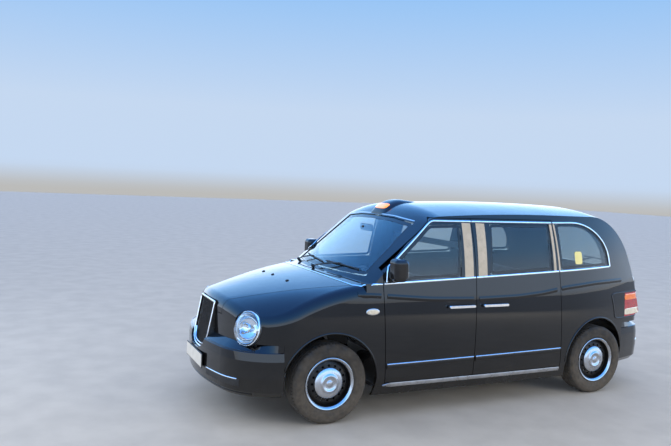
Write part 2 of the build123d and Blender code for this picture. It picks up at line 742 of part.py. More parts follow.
# Rear panel between the side frames, under the tailgate
boot_low_z = 480.0
panel_half = frame_inner_y - seat_gap
panel_low_half = 500.0
panel_gap = 2.5
rear_panel = (outer & block(-2500, -2150, -panel_half, panel_half, boot_low_z, gate_low_z + seal_lap)) - frame_back
bumper_clear = Pos(bumper_rear_x + rear_bumper_radius, 0, bumper_top_z / 2) * Cylinder(
    rear_bumper_radius - bumper_flange - panel_gap, bumper_top_z + 2)
rear_panel = rear_panel - (block(-2600, -2000, -700, 700, 0, bumper_top_z) - bumper_clear)
for sign in (1, -1):
    low, high = sorted((sign * panel_low_half, sign * 700.0))
    rear_panel = rear_panel - block(-2600, -2000, low, high, 0, bumper_top_z)
keep("rear_panel", gutter(rear_panel, gate_pocket, gate_opening))

# Floor and chassis
floor_thickness = 35.0
floor_low_z = 260.0
step_front_x = -1076.0
step_rear_x = -1245.0
floor_side = [
    (1062.0, floor_low_z), (1062.0, floor_low_z + floor_thickness),
    (step_front_x + 16.0, floor_low_z + floor_thickness), (step_rear_x + 16.0, boot_low_z + floor_thickness),
    (-2290.0, boot_low_z + floor_thickness), (-2290.0, boot_low_z), (step_rear_x, boot_low_z),
    (step_front_x, floor_low_z),
]
floor_block = extrude(polygon([(x, -1000, z) for x, z in floor_side]), amount=2000, dir=(0, 1, 0))
floor_pan = room_low & floor_block
rear_tub = rod_y(rear_axle_x, tyre_radius, arch_radius + tub_wall + seat_gap, tub_inner_y - tub_wall - seat_gap, 1300)
floor_pan = floor_pan - rear_tub - other_side(rear_tub)
floor_pan = floor_pan - block(-2400, -2300, -1200, 1200, 400, 700)
keep("floor_pan", floor_pan)

rail_inner_y = 330.0
rail_outer_y = 400.0
towbar_y = 365.0
towbar_low_z = 420.0
towbar_rise = 40.0
towbar_hole_radius = 6.5
towbar_depth = 30.0
rail_top = floor_low_z - seat_gap
rail_side = [
    (2255.0, 330.0), (2255.0, 430.0), (1200.0, 430.0), (1075.0, rail_top), (step_front_x - 0.3, rail_top),
    (step_rear_x - 0.3, boot_low_z - seat_gap), (-2255.0, boot_low_z - seat_gap), (-2255.0, 400.0), (-1290.0, 400.0),
    (-1130.0, 190.0), (1100.0, 190.0), (1215.0, 330.0),
]
rail = side_prism(rail_side, rail_inner_y, rail_outer_y)
cross = [
    # x low, x high, z low, z high
    (2150.0, 2230.0, 340.0, 420.0),
    (1400.0, 1600.0, 330.0, 430.0),
    (1440.0, 1560.0, 200.0, 330.0),
    (300.0, 380.0, 190.0, 250.0),
    (-700.0, -620.0, 190.0, 250.0),
    (-1800.0, -1730.0, 405.0, 470.0),
]
frame = rail.fuse(other_side(rail))
for x_low, x_high, z_low, z_high in cross:
    frame = frame.fuse(block(x_low, x_high, -rail_inner_y - 1, rail_inner_y + 1, z_low, z_high))
for x in (700.0, -200.0, -900.0):
    rigger = room_low & block(x - 40, x + 40, rail_outer_y - 1, 1000, 206.0, 250.0)
    frame = frame.fuse(rigger, other_side(rigger))
arm_root_y = 420.0
for sign in (1, -1):
    low, high = sorted((sign * rail_inner_y, sign * arm_root_y))
    frame = frame.fuse(block(1440.0, 1560.0, low, high, 200.0, 340.0))
    frame = frame.fuse(block(1450.0, 1550.0, low, high, 420.0, 490.0))
    for x_low, x_high in ((2255.0, 2262.0), (-2262.0, -2255.0)):
        z_low, z_high = (330.0, 430.0) if x_low > 0 else (400.0, boot_low_z - seat_gap)
        y_low, y_high = sorted((sign * rail_inner_y, sign * rail_outer_y))
        frame = frame.fuse(block(x_low, x_high, y_low, y_high, z_low, z_high))
for y in (-towbar_y, towbar_y):
    for z in (towbar_low_z, towbar_low_z + towbar_rise):
        bolt_hole = Pos(-2262.0 + towbar_depth / 2, y, z) * Rot(0, 90, 0) * Cylinder(towbar_hole_radius, towbar_depth)
        frame = frame - bolt_hole
keep("chassis_frame", frame)

engine = block(1330.0, 1950.0, -240.0, 240.0, 430.0 + seat_gap, 900.0)
keep("engine_block", engine)
radiator = block(2150.0, 2200.0, -320.0, 320.0, 420.0 + seat_gap, 840.0)
keep("radiator", radiator)


def wishbone(z_low, z_high):
    plate = plan_prism([(1440.0, arm_root_y + seat_gap), (1560.0, arm_root_y + seat_gap),
                        (1528.0, kingpin_y), (1472.0, kingpin_y)], z_low, z_high)
    eye = Pos(front_axle_x, kingpin_y, (z_low + z_high) / 2) * Cylinder(28.0, z_high - z_low)
    return plate.fuse(eye)


arm_low_z = 206.0
arm_high_z = 455.0
arm_thickness = 24.0
arms = wishbone(arm_low_z, arm_low_z + arm_thickness).solids() + wishbone(arm_high_z, arm_high_z + arm_thickness).solids()
arms = Compound(children=[*arms, *[other_side(arm) for arm in arms]])
keep("front_wishbones", arms)

hub_face_y = 830.0
post = Pos(front_axle_x, kingpin_y, (arm_low_z + arm_thickness + arm_high_z) / 2) * Cylinder(
    22.0, arm_high_z - arm_low_z - arm_thickness - 2 * seat_gap)
stub = rod_y(front_axle_x, tyre_radius, 34.0, kingpin_y, hub_face_y - seat_gap)
flange = rod_y(front_axle_x, tyre_radius, 72.0, hub_face_y - 14.0, hub_face_y - seat_gap)
disc = rod_y(front_axle_x, tyre_radius, 140.0, 790.0, 812.0)
knuckle = post.fuse(stub, flange, disc)
keep("left_knuckle", knuckle)
keep("right_knuckle", other_side(knuckle))

axle_tube = rod_y(rear_axle_x, tyre_radius, 38.0, -hub_face_y + seat_gap, hub_face_y - seat_gap)
axle = axle_tube.fuse(Pos(rear_axle_x, 0, tyre_radius) * Sphere(118.0))
for sign in (1, -1):
    low, high = sorted((sign * (hub_face_y - 14.0), sign * (hub_face_y - seat_gap)))
    axle = axle.fuse(rod_y(rear_axle_x, tyre_radius, 72.0, low, high))
    low, high = sorted((sign * 788.0, sign * 812.0))
    axle = axle.fuse(rod_y(rear_axle_x, tyre_radius, 135.0, low, high))
    spring_height = boot_low_z - seat_gap - tyre_radius
    spring = Pos(rear_axle_x, sign * 500.0, tyre_radius + spring_height / 2) * Cylinder(52.0, spring_height)
    axle = axle.fuse(spring)
keep("rear_axle", axle)


# Wheels and tyres
def turned(outline, x, y):
    # A shape turned about the wheel's axle from (radius, offset) corners
    face = polygon([(radius, offset, 0) for radius, offset in outline])
    solid = revolve(face, Axis.Y, 360.0)
    return solid.moved(Location((x, y, tyre_radius)))


rim_outline = [(196, -78), (214, -92), (220, -92), (220, -84), (207, -76), (203, -60), (203, 60), (207, 76),
               (220, 84), (220, 92), (214, 92), (196, 78)]
disc_outline = [(199, 26), (199, 40), (166, 54), (122, 62), (80, 43), (24, 43), (24, 35), (84, 35), (124, 52), (164, 44)]
cover_outline = [(0.0, 62.0), (0.0, 80.0), (50, 82), (58, 90), (72, 90), (82, 82), (110, 76), (127, 66), (127, 60), (120, 58),
                 (100, 62)]
tyre_outline = [(207.3, -75), (220.3, -83), (240, -99), (275, -107.5), (312, -104), (336, -88), (343, -64), (343, 64), (336, 88),
                (312, 104), (275, 107.5), (240, 99), (220.3, 83), (207.3, 75), (203.3, 58), (203.3, -58)]
vent_count = 16
vent_radius = 148.0
vent_hole_radius = 11.0


def wheel():
    # A left wheel on the middle of the car's length
    solid = turned(rim_outline, 0, wheel_y)
    for outline in (disc_outline, cover_outline):
        solid = solid.fuse(turned(outline, 0, wheel_y))
    vent = rod_y(0, vent_radius, vent_hole_radius, -200, 200)
    for index in range(vent_count):
        turn = Location((0, wheel_y, tyre_radius)) * Location((0, 0, 0), (0, 1, 0), 360.0 * index / vent_count)
        solid = solid - (turn * vent)
    return solid


left_wheel = wheel()
left_tyre = turned(tyre_outline, 0, wheel_y)
for end, x in (("front", front_axle_x), ("rear", rear_axle_x)):
    for name, shape in (("wheel", left_wheel), ("tyre", left_tyre)):
        placed = Pos(x, 0, 0) * shape
        keep(end + "_left_" + name, placed)
        keep(end + "_right_" + name, other_side(placed))

# Mirrors on the front doors
head = Pos(925.0, 948.0, 1300.0) * Box(130.0, 140.0, 195.0)
head = fillet(head.edges(), 38.0)
foot = Pos(930.0, 900.0, 1222.0) * Box(70.0, 130.0, 36.0)
mirror_left = head.fuse(foot) - Pos(0, seat_gap, 0) * outer
keep("left_mirror", mirror_left)
keep("right_mirror", other_side(mirror_left))

# Roof sign
sign_side = [(655.0, 1700.0), (640.0, 1768.0), (604.0, 1834.0), (566.0, 1856.0), (240.0, 1886.0), (225.0, 1800.0)]
sign_half = 150.0
roof_sign = extrude(polygon([(x, -sign_half, z) for x, z in sign_side]), amount=2 * sign_half, dir=(0, 1, 0))
roof_sign = roof_sign - roof_seat
keep("roof_sign", roof_sign)

# Inside
dash_side = [(1039.7, 760.0), (1039.7, 1140.0), (900.0, 1130.0), (780.0, 1060.0), (770.0, 940.0), (860.0, 780.0)]
dashboard = room_low & extrude(polygon([(x, -1000, z) for x, z in dash_side]), amount=2000, dir=(0, 1, 0))
keep("dashboard", dashboard)
wheel_place = Location((640.0, -385.0, 985.0)) * Location((0, 0, 0), (0, 1, 0), 62.0)
hand_wheel = wheel_place * Torus(188.0, 15.0)
hub = wheel_place * Cylinder(38.0, 40.0)
for turn in (0, 120, 240):
    spoke = wheel_place * Location((0, 0, 0), (0, 0, 1), turn + 60.0) * Pos(100.0, 0, 0) * Box(170.0, 30.0, 14.0)
    hub = hub.fuse(spoke)
column = wheel_place * (Pos(0, 0, 110) * Cylinder(28.0, 220.0))
hand_wheel = hand_wheel.fuse(hub, column) - extrude(
    polygon([(x, -1000, z) for x, z in grown(dash_side, seat_gap)]), amount=2000, dir=(0, 1, 0))
keep("steering_wheel", hand_wheel)

seat_floor = floor_low_z + floor_thickness + seat_gap


def seat(x_front, x_back, y_low, y_high, z_low, cushion_z, top_z, lean):
    base = block(x_back + 60, x_front - 60, y_low + 50, y_high - 50, z_low, cushion_z - 130)
    cushion = block(x_back, x_front, y_low, y_high, cushion_z - 131, cushion_z)
    back = extrude(polygon([(x_back + 110, y_low, cushion_z - 60), (x_back - 20, y_low, cushion_z - 60),
                            (x_back - 20 - lean, y_low, top_z), (x_back + 80 - lean, y_low, top_z)]),
                   amount=y_high - y_low, dir=(0, 1, 0))
    return base.fuse(cushion, back)


driver = seat(640.0, 190.0, -620.0, -150.0, seat_floor, 600.0, 1150.0, 70.0)
driver = driver.fuse(block(105.0, 195.0, -500.0, -270.0, 1130.0, 1310.0))
keep("driver_seat", driver)
bench = seat(-760.0, -1210.0, -590.0, 590.0, seat_floor, 640.0, 1200.0, 60.0)
under_floor = [
    (1062.0, 0.0), (1062.0, seat_floor), (step_front_x + 16.0, seat_floor),
    (step_rear_x + 16.0, boot_low_z + floor_thickness + seat_gap),
    (-2290.0, boot_low_z + floor_thickness + seat_gap), (-2290.0, 0.0),
]
bench = bench - extrude(polygon([(x, -1000, z) for x, z in under_floor]), amount=2000, dir=(0, 1, 0))
keep("rear_seat", bench)
wall_zone = block(-10.0, 12.0, -1000, 1000, seat_floor, 1500.0)
partition = (room_low & wall_zone).fuse(room_high & wall_zone & block(-20, 20, -1000, 1000, 1000, 1500))
window = block(-20.0, 20.0, -560.0, 560.0, 1080.0, 1440.0)
partition = partition - window
keep("partition", partition)
jump = block(-110.3, -10.3, 130.0, 520.0, 430.0, 860.0)
keep("jump_seats", both(jump))
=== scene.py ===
from math import copysign, cos, exp, pi, radians, sin

import bmesh
import bpy
from mathutils import Matrix, Vector
from mathutils.bvhtree import BVHTree


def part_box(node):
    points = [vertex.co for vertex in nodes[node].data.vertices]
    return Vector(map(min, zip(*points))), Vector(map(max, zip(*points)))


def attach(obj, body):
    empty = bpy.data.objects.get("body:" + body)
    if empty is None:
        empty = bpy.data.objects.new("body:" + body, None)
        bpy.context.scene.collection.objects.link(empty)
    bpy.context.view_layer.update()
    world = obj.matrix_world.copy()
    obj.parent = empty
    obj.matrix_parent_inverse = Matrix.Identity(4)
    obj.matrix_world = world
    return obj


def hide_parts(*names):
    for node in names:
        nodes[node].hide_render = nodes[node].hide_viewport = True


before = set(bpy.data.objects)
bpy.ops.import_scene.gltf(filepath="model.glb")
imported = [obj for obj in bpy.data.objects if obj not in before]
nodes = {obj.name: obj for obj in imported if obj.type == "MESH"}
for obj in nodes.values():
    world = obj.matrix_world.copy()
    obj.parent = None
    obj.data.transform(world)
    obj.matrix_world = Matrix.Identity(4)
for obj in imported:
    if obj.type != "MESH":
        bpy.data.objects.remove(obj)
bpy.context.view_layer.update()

scene = bpy.context.scene

# materials


def startMaterial(name, colour, rough, **more):
    material = bpy.data.materials.new(name)
    material.use_nodes = True
    shader = material.node_tree.nodes["Principled BSDF"]
    shader.inputs["Base Color"].default_value = (*colour, 1)
    shader.inputs["Roughness"].default_value = rough
    for socket, value in more.items():
        shader.inputs[socket.replace("_", " ")].default_value = value
    return material


def newNode(material, kind, **values):
    node = material.node_tree.nodes.new(kind)
    for key, value in values.items():
        if key in node.inputs:
            node.inputs[key].default_value = value
        else:
            setattr(node, key, value)
    return node


def objectPoint(material):
    return newNode(material, "ShaderNodeTexCoord").outputs["Object"]


def noiseOf(material, scale, detail=3.0, rough=0.5, stretch=None):
    noise = newNode(material, "ShaderNodeTexNoise", Scale=scale, Detail=detail, Roughness=rough)
    source = objectPoint(material)
    if stretch:
        mapping = newNode(material, "ShaderNodeMapping")
        mapping.inputs["Scale"].default_value = stretch
        material.node_tree.links.new(source, mapping.inputs["Vector"])
        source = mapping.outputs["Vector"]
    material.node_tree.links.new(source, noise.inputs["Vector"])
    return noise.outputs["Fac"]


def rampOf(material, factor, low, high, first=0.35, last=0.65):
    ramp = newNode(material, "ShaderNodeValToRGB")
    ramp.color_ramp.elements[0].position = first
    ramp.color_ramp.elements[1].position = last
    ramp.color_ramp.elements[0].color = (*low, 1)
    ramp.color_ramp.elements[1].color = (*high, 1)
    material.node_tree.links.new(factor, ramp.inputs["Fac"])
    return ramp.outputs["Color"]


def varyColour(material, low, high, scale, detail=3.0, stretch=None, first=0.35, last=0.65):
    colour = rampOf(material, noiseOf(material, scale, detail, stretch=stretch), low, high, first, last)
    shader = material.node_tree.nodes["Principled BSDF"]
    material.node_tree.links.new(colour, shader.inputs["Base Color"])
    return colour


def varyRoughness(material, low, high, scale, stretch=None):
    spread = newNode(material, "ShaderNodeMapRange")
    spread.inputs["From Min"].default_value = 0.3
    spread.inputs["From Max"].default_value = 0.7
    spread.inputs["To Min"].default_value = low
    spread.inputs["To Max"].default_value = high
    material.node_tree.links.new(noiseOf(material, scale, stretch=stretch), spread.inputs["Value"])
    shader = material.node_tree.nodes["Principled BSDF"]
    material.node_tree.links.new(spread.outputs["Result"], shader.inputs["Roughness"])


def addBump(material, height, strength, distance):
    bump = newNode(material, "ShaderNodeBump", Strength=strength, Distance=distance)
    material.node_tree.links.new(height, bump.inputs["Height"])
    shader = material.node_tree.nodes["Principled BSDF"]
    material.node_tree.links.new(bump.outputs["Normal"], shader.inputs["Normal"])
    return material


def addDust(material, colour, dust, topZ, amount, scale):
    # road dust that thins out upwards, mixed over the finish's own colour
    links = material.node_tree.links
    split = newNode(material, "ShaderNodeSeparateXYZ")
    links.new(objectPoint(material), split.inputs["Vector"])
    fade = newNode(material, "ShaderNodeMapRange")
    for socket, value in (("From Min", topZ), ("From Max", 0.2), ("To Min", 0.0), ("To Max", amount)):
        fade.inputs[socket].default_value = value
    links.new(split.outputs["Z"], fade.inputs["Value"])
    patch = newNode(material, "ShaderNodeMath", operation="MULTIPLY")
    links.new(fade.outputs["Result"], patch.inputs[0])
    links.new(noiseOf(material, scale, 5.0), patch.inputs[1])
    mix = newNode(material, "ShaderNodeMix", data_type="RGBA")
    links.new(patch.outputs["Value"], mix.inputs["Factor"])
    links.new(colour, mix.inputs["A"])
    mix.inputs["B"].default_value = (*dust, 1)
    links.new(mix.outputs["Result"], material.node_tree.nodes["Principled BSDF"].inputs["Base Color"])


def makePaint():
    paint = startMaterial("glossBlackPaint", (0.004, 0.004, 0.005), 0.3, Coat_Weight=1.0, Coat_Roughness=0.02,
                          Specular_IOR_Level=0.05)
    colour = varyColour(paint, (0.0020, 0.0022, 0.0030), (0.0040, 0.0042, 0.0055), 2.2)
    addDust(paint, colour, (0.16, 0.14, 0.11), 0.60, 0.12, 9.0)
    varyRoughness(paint, 0.30, 0.42, 5.0)
    return addBump(paint, noiseOf(paint, 260.0, 1.0), 0.02, 0.0003)


def makePlastic(name, low, high, rough):
    plastic = startMaterial(name, low, rough)
    varyColour(plastic, low, high, 14.0)
    varyRoughness(plastic, rough - 0.07, rough + 0.07, 22.0)
    return addBump(plastic, noiseOf(plastic, 900.0, 2.0), 0.18, 0.0005)


def makeMetal(name, low, high, rough, scale=30.0, bump=0.05):
    metal = startMaterial(name, low, rough, Metallic=1.0)
    varyColour(metal, low, high, scale)
    varyRoughness(metal, max(0.02, rough - 0.05), rough + 0.05, scale)
    return addBump(metal, noiseOf(metal, 260.0, 2.0), bump, 0.0003)


def makeGlass(name, tint):
    glass = startMaterial(name, tint, 0.0, Transmission_Weight=1.0, IOR=1.45)
    varyColour(glass, tuple(0.985 * part for part in tint), tint, 1.3)
    return addBump(glass, noiseOf(glass, 6.0, 1.0), 0.02, 0.001)


def makeRubber():
    rubber = startMaterial("dustyTyreRubber", (0.03, 0.028, 0.026), 0.82)
    colour = varyColour(rubber, (0.020, 0.019, 0.018), (0.050, 0.044, 0.037), 16.0)
    addDust(rubber, colour, (0.16, 0.135, 0.105), 0.72, 0.75, 30.0)
    varyRoughness(rubber, 0.72, 0.92, 24.0)
    return addBump(rubber, noiseOf(rubber, 340.0, 3.0), 0.25, 0.0008)


def makeCloth():
    # fine two-way weave from crossed waves
    cloth = startMaterial("seatCloth", (0.03, 0.031, 0.034), 0.85, Sheen_Weight=0.35, Sheen_Roughness=0.4)
    varyColour(cloth, (0.020, 0.021, 0.024), (0.042, 0.043, 0.048), 60.0)
    links = cloth.node_tree.links
    heights = []
    for axis in ("X", "Y", "Z"):
        wave = newNode(cloth, "ShaderNodeTexWave", bands_direction=axis, Scale=110.0, Distortion=0.6)
        links.new(objectPoint(cloth), wave.inputs["Vector"])
        heights.append(wave.outputs["Fac"])
    total = newNode(cloth, "ShaderNodeMath", operation="ADD")
    links.new(heights[0], total.inputs[0])
    links.new(heights[1], total.inputs[1])
    weave = newNode(cloth, "ShaderNodeMath", operation="ADD")
    links.new(total.outputs["Value"], weave.inputs[0])
    links.new(heights[2], weave.inputs[1])
    return addBump(cloth, weave.outputs["Value"], 0.35, 0.0008)


def makeSteel(name, low, high, rust, rough):
    steel = startMaterial(name, low, rough, Metallic=0.55)
    colour = varyColour(steel, low, high, 11.0)
    mix = newNode(steel, "ShaderNodeMix", data_type="RGBA")
    spots = rampOf(steel, noiseOf(steel, 17.0, 6.0), (0, 0, 0), (1, 1, 1), 0.56, 0.72)
    steel.node_tree.links.new(spots, mix.inputs["Factor"])
    steel.node_tree.links.new(colour, mix.inputs["A"])
    mix.inputs["B"].default_value = (*rust, 1)
    shader = steel.node_tree.nodes["Principled BSDF"]
    steel.node_tree.links.new(mix.outputs["Result"], shader.inputs["Base Color"])
    varyRoughness(steel, rough - 0.1, rough + 0.12, 19.0)
    return addBump(steel, noiseOf(steel, 150.0, 4.0), 0.3, 0.0008)


def makeLens(name, low, high, glow=0.0):
    lens = startMaterial(name, low, 0.12, Coat_Weight=1.0, Coat_Roughness=0.03)
    varyColour(lens, low, high, 40.0)
    if glow:
        lens.node_tree.nodes["Principled BSDF"].inputs["Emission Color"].default_value = (*high, 1)
        lens.node_tree.nodes["Principled BSDF"].inputs["Emission Strength"].default_value = glow
    wave = newNode(lens, "ShaderNodeTexWave", bands_direction="Y", Scale=42.0)
    lens.node_tree.links.new(objectPoint(lens), wave.inputs["Vector"])
    return addBump(lens, wave.outputs["Fac"], 0.25, 0.001)


paint = makePaint()
trimPlastic = makePlastic("grainedBlackPlastic", (0.012, 0.012, 0.013), (0.022, 0.022, 0.023), 0.46)
glossPlastic = makePlastic("glossBlackPlastic", (0.006, 0.006, 0.007), (0.010, 0.010, 0.011), 0.14)
cabinPlastic = makePlastic("cabinPlastic", (0.030, 0.030, 0.032), (0.045, 0.045, 0.047), 0.55)
chrome = makeMetal("brightChrome", (0.80, 0.81, 0.83), (0.92, 0.92, 0.92), 0.10)
# cream base colour: a painted reflection of the bright low sky on the gloss black pillar covers, not their own
# colour
paintedReflectionCream = makePlastic("paintedReflectionCream", (0.46, 0.42, 0.35), (0.54, 0.49, 0.42), 0.30)
satin = makeMetal("satinSilver", (0.50, 0.51, 0.53), (0.62, 0.63, 0.65), 0.30, 12.0)
mirrorSilver = makeMetal("mirrorSilver", (0.82, 0.84, 0.86), (0.86, 0.88, 0.90), 0.03, 3.0, 0.0)
reflector = makeMetal("lampReflector", (0.78, 0.79, 0.80), (0.88, 0.89, 0.90), 0.09, 8.0, 0.02)
wheelBlack = makeSteel("wheelBlack", (0.014, 0.014, 0.015), (0.026, 0.025, 0.024), (0.05, 0.042, 0.034), 0.42)
chassisBlack = makeSteel("chassisBlack", (0.020, 0.020, 0.021), (0.036, 0.034, 0.032),
                         (0.085, 0.048, 0.028), 0.62)
engineGrey = makeSteel("engineGrey", (0.10, 0.10, 0.105), (0.17, 0.17, 0.175), (0.12, 0.09, 0.06), 0.5)
coreGrey = makeSteel("radiatorAluminium", (0.16, 0.16, 0.165), (0.24, 0.24, 0.245), (0.14, 0.12, 0.10), 0.45)
clearGlass = makeGlass("clearGlass", (0.80, 0.88, 0.86))
tintedGlass = makeGlass("tintedGlass", (0.56, 0.62, 0.61))
lampGlass = makeGlass("lampGlass", (0.97, 0.98, 0.99))
tyreRubber = makeRubber()
seatCloth = makeCloth()
carpet = makePlastic("floorCarpet", (0.022, 0.022, 0.024), (0.045, 0.045, 0.048), 0.9)
panelGrey = makePlastic("partitionGrey", (0.055, 0.056, 0.060), (0.080, 0.081, 0.086), 0.5)
redLens = makeLens("redLampLens", (0.28, 0.004, 0.005), (0.45, 0.010, 0.010))
orangeLens = makeLens("orangeSignLens", (0.90, 0.20, 0.015), (1.0, 0.30, 0.03), 1.3)
orangeMarker = makeLens("orangeMarkerLens", (0.80, 0.16, 0.01), (0.92, 0.24, 0.02))
whitePlate = makePlastic("blankWhitePlate", (0.74, 0.74, 0.71), (0.84, 0.84, 0.81), 0.35)
yellowPlate = makePlastic("blankYellowPlate", (0.72, 0.56, 0.08), (0.80, 0.64, 0.12), 0.35)
paleSticker = makePlastic("paleYellowSticker", (0.76, 0.72, 0.30), (0.84, 0.80, 0.40), 0.45)
paleLamp = makeLens("paleRepeaterLens", (0.62, 0.60, 0.52), (0.78, 0.76, 0.68))
print("materials made")


def finishNodes(material, *names):
    for name in names:
        node = nodes[name]
        if node.material_slots:
            for place in node.material_slots:
                place.material = material
        else:
            node.data.materials.append(material)


cornerNames = ["front_left", "front_right", "rear_left", "rear_right"]
finishNodes(paint, *[name + "_door" for name in cornerNames], "left_side_frame", "right_side_frame",
            "roof_panel", "tailgate", "bonnet", "front_wings", "scuttle", "front_bumper", "rear_bumper",
            "rear_panel")
finishNodes(clearGlass, "front_left_door_glass", "front_right_door_glass", "windscreen")
finishNodes(tintedGlass, "rear_left_door_glass", "rear_right_door_glass", "quarter_glass", "rear_screen")
finishNodes(lampGlass, "headlamp_lenses")
finishNodes(reflector, "headlamp_bowls")
finishNodes(redLens, "tail_lamps")
finishNodes(glossPlastic, "grille", "left_mirror", "right_mirror", "roof_sign")
finishNodes(cabinPlastic, "dashboard", "steering_wheel")
finishNodes(panelGrey, "partition")
finishNodes(carpet, "floor_pan")
finishNodes(chassisBlack, "chassis_frame", "front_wishbones", "rear_axle", "left_knuckle", "right_knuckle")
finishNodes(engineGrey, "engine_block")
finishNodes(coreGrey, "radiator")
finishNodes(wheelBlack, *[name + "_wheel" for name in cornerNames])
print("frame finished with its materials")

# camera, light and floor
shot = {"yaw": -115.372, "pitch": -3.338, "roll": 2.568, "focal": 690.85, "frame": 671.0,
        "place": (3.9514, 6.0233, 2.0256)}


def makeCamera():
    yaw, pitch, roll = (radians(shot[key]) for key in ("yaw", "pitch", "roll"))
    ahead = Vector((cos(pitch) * cos(yaw), cos(pitch) * sin(yaw), sin(pitch)))
    right = Vector((sin(yaw), -cos(yaw), 0))
    up = right.cross(ahead)
    across = cos(roll) * right + sin(roll) * up
    upright = -sin(roll) * right + cos(roll) * up
    lens = bpy.data.cameras.new("photoView")
    lens.sensor_fit = "HORIZONTAL"
    lens.sensor_width = 36.0
    lens.lens = shot["focal"] / shot["frame"] * 36.0
    camera = bpy.data.objects.new("photoView", lens)
    scene.collection.objects.link(camera)
    turn = Matrix((across, upright, -ahead)).transposed().to_4x4()
    camera.matrix_world = Matrix.Translation(shot["place"]) @ turn
    scene.camera = camera


sky = {"ground": (0.50, 0.50, 0.49), "horizon": (0.56, 0.69, 0.88), "low": (0.28, 0.54, 0.92),
       "middle": (0.11, 0.36, 0.88), "top": (0.06, 0.22, 0.70), "soft": (0.80, 0.80, 0.80)}
glossGain = 2.7


def makeSky():
    world = bpy.data.worlds.new("openSky")
    scene.world = world
    world.use_nodes = True
    tree = world.node_tree
    coordinates = tree.nodes.new("ShaderNodeTexCoord")
    split = tree.nodes.new("ShaderNodeSeparateXYZ")
    tree.links.new(coordinates.outputs["Generated"], split.inputs["Vector"])
    spread = tree.nodes.new("ShaderNodeMapRange")
    spread.inputs["From Min"].default_value = -1.0
    tree.links.new(split.outputs["Z"], spread.inputs["Value"])
    ramp = tree.nodes.new("ShaderNodeValToRGB")
    stops = ramp.color_ramp.elements
    stops[0].position, stops[0].color = 0.49, (*sky["ground"], 1)
    stops[1].position, stops[1].color = 1.0, (*sky["top"], 1)
    for place, key in ((0.505, "horizon"), (0.55, "horizon"), (0.64, "low"), (0.80, "middle")):
        stops.new(place).color = (*sky[key], 1)
    tree.links.new(spread.outputs["Result"], ramp.inputs["Fac"])
    # soft even light on every surface; the sky itself shows to the eye, in gloss and through glass
    path = tree.nodes.new("ShaderNodeLightPath")
    seen = path.outputs["Is Camera Ray"]
    for ray in ("Is Glossy Ray", "Is Transmission Ray"):
        either = tree.nodes.new("ShaderNodeMath")
        either.operation = "MAXIMUM"
        tree.links.new(seen, either.inputs[0])
        tree.links.new(path.outputs[ray], either.inputs[1])
        seen = either.outputs["Value"]
    mix = tree.nodes.new("ShaderNodeMix")
    mix.data_type = "RGBA"
    tree.links.new(seen, mix.inputs["Factor"])
    mix.inputs["A"].default_value = (*sky["soft"], 1)
    tree.links.new(ramp.outputs["Color"], mix.inputs["B"])
    tree.links.new(mix.outputs["Result"], tree.nodes["Background"].inputs["Color"])
    gain = tree.nodes.new("ShaderNodeMapRange")
    gain.inputs["To Min"].default_value = 1.0
    gain.inputs["To Max"].default_value = glossGain
    tree.links.new(path.outputs["Is Glossy Ray"], gain.inputs["Value"])
    tree.links.new(gain.outputs["Result"], tree.nodes["Background"].inputs["Strength"])


lamps = [
    # name, place, aim, width, height, power, colour
    ("lowSunPanel", (-6.5, 9.0, 3.2), (-0.3, 0.9, 0.9), 4.0, 2.4, 420.0, (1.0, 0.90, 0.74)),
    ("noseFill", (8.0, -1.5, 4.5), (2.0, 0.0, 0.8), 3.0, 3.0, 160.0, (0.86, 0.92, 1.0)),
]


def makeLamps():
    for name, place, aim, width, height, power, colour in lamps:
        light = bpy.data.lights.new(name, "AREA")
        light.shape = "RECTANGLE"
        light.size, light.size_y = width, height
        light.energy, light.color = power, colour
        lamp = bpy.data.objects.new(name, light)
        scene.collection.objects.link(lamp)
        lamp.visible_glossy = False
        lamp.visible_transmission = False
        lamp.location = place
        lamp.rotation_euler = (Vector(aim) - Vector(place)).to_track_quat("-Z", "Y").to_euler()


floorSizes = {"reach": 60.0, "low": (0.50, 0.50, 0.50), "high": (0.56, 0.56, 0.56)}


def makeFloor():
    mesh = bpy.data.meshes.new("paleFloor")
    reach = floorSizes["reach"]
    mesh.from_pydata([(-reach, -reach, -0.001), (reach, -reach, -0.001), (reach, reach, -0.001),
                      (-reach, reach, -0.001)], [], [(0, 1, 2, 3)])
    floor = bpy.data.objects.new("paleFloor", mesh)
    scene.collection.objects.link(floor)
    stone = startMaterial("paleFloorStone", floorSizes["low"], 0.7)
    varyColour(stone, floorSizes["low"], floorSizes["high"], 3.0)
    mesh.materials.append(addBump(stone, noiseOf(stone, 90.0, 3.0), 0.1, 0.002))


makeCamera()
makeSky()
makeLamps()
makeFloor()
scene.view_settings.view_transform = "Standard"
print("camera, sky, lamps and floor set")

# shared ways of making a piece


def addPiece(name, form, material, body, slot, replaced=(), crease=38.0):
    bmesh.ops.remove_doubles(form, verts=form.verts, dist=1e-6)
    bmesh.ops.recalc_face_normals(form, faces=form.faces)
    mesh = bpy.data.meshes.new(name)
    form.to_mesh(mesh)
    form.free()
    mesh.polygons.foreach_set("use_smooth", [True] * len(mesh.polygons))
    mesh.set_sharp_from_angle(angle=radians(crease))
    mesh.materials.append(material)
    piece = bpy.data.objects.new(name, mesh)
    scene.collection.objects.link(piece)
    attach(piece, body)
    if replaced:
        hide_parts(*replaced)
    return piece


def addPair(name, form, material, body, slot, replaced=(), crease=38.0):
    # the left piece and its twin on the right; {side} in a name is filled in
    twin = form.copy()
    for point in twin.verts:
        point.co.y = -point.co.y
    for side, shape in (("left", form), ("right", twin)):
        addPiece(name + side.capitalize(), shape, material, body.format(side=side), slot,
                 [node.format(side=side) for node in replaced], crease)


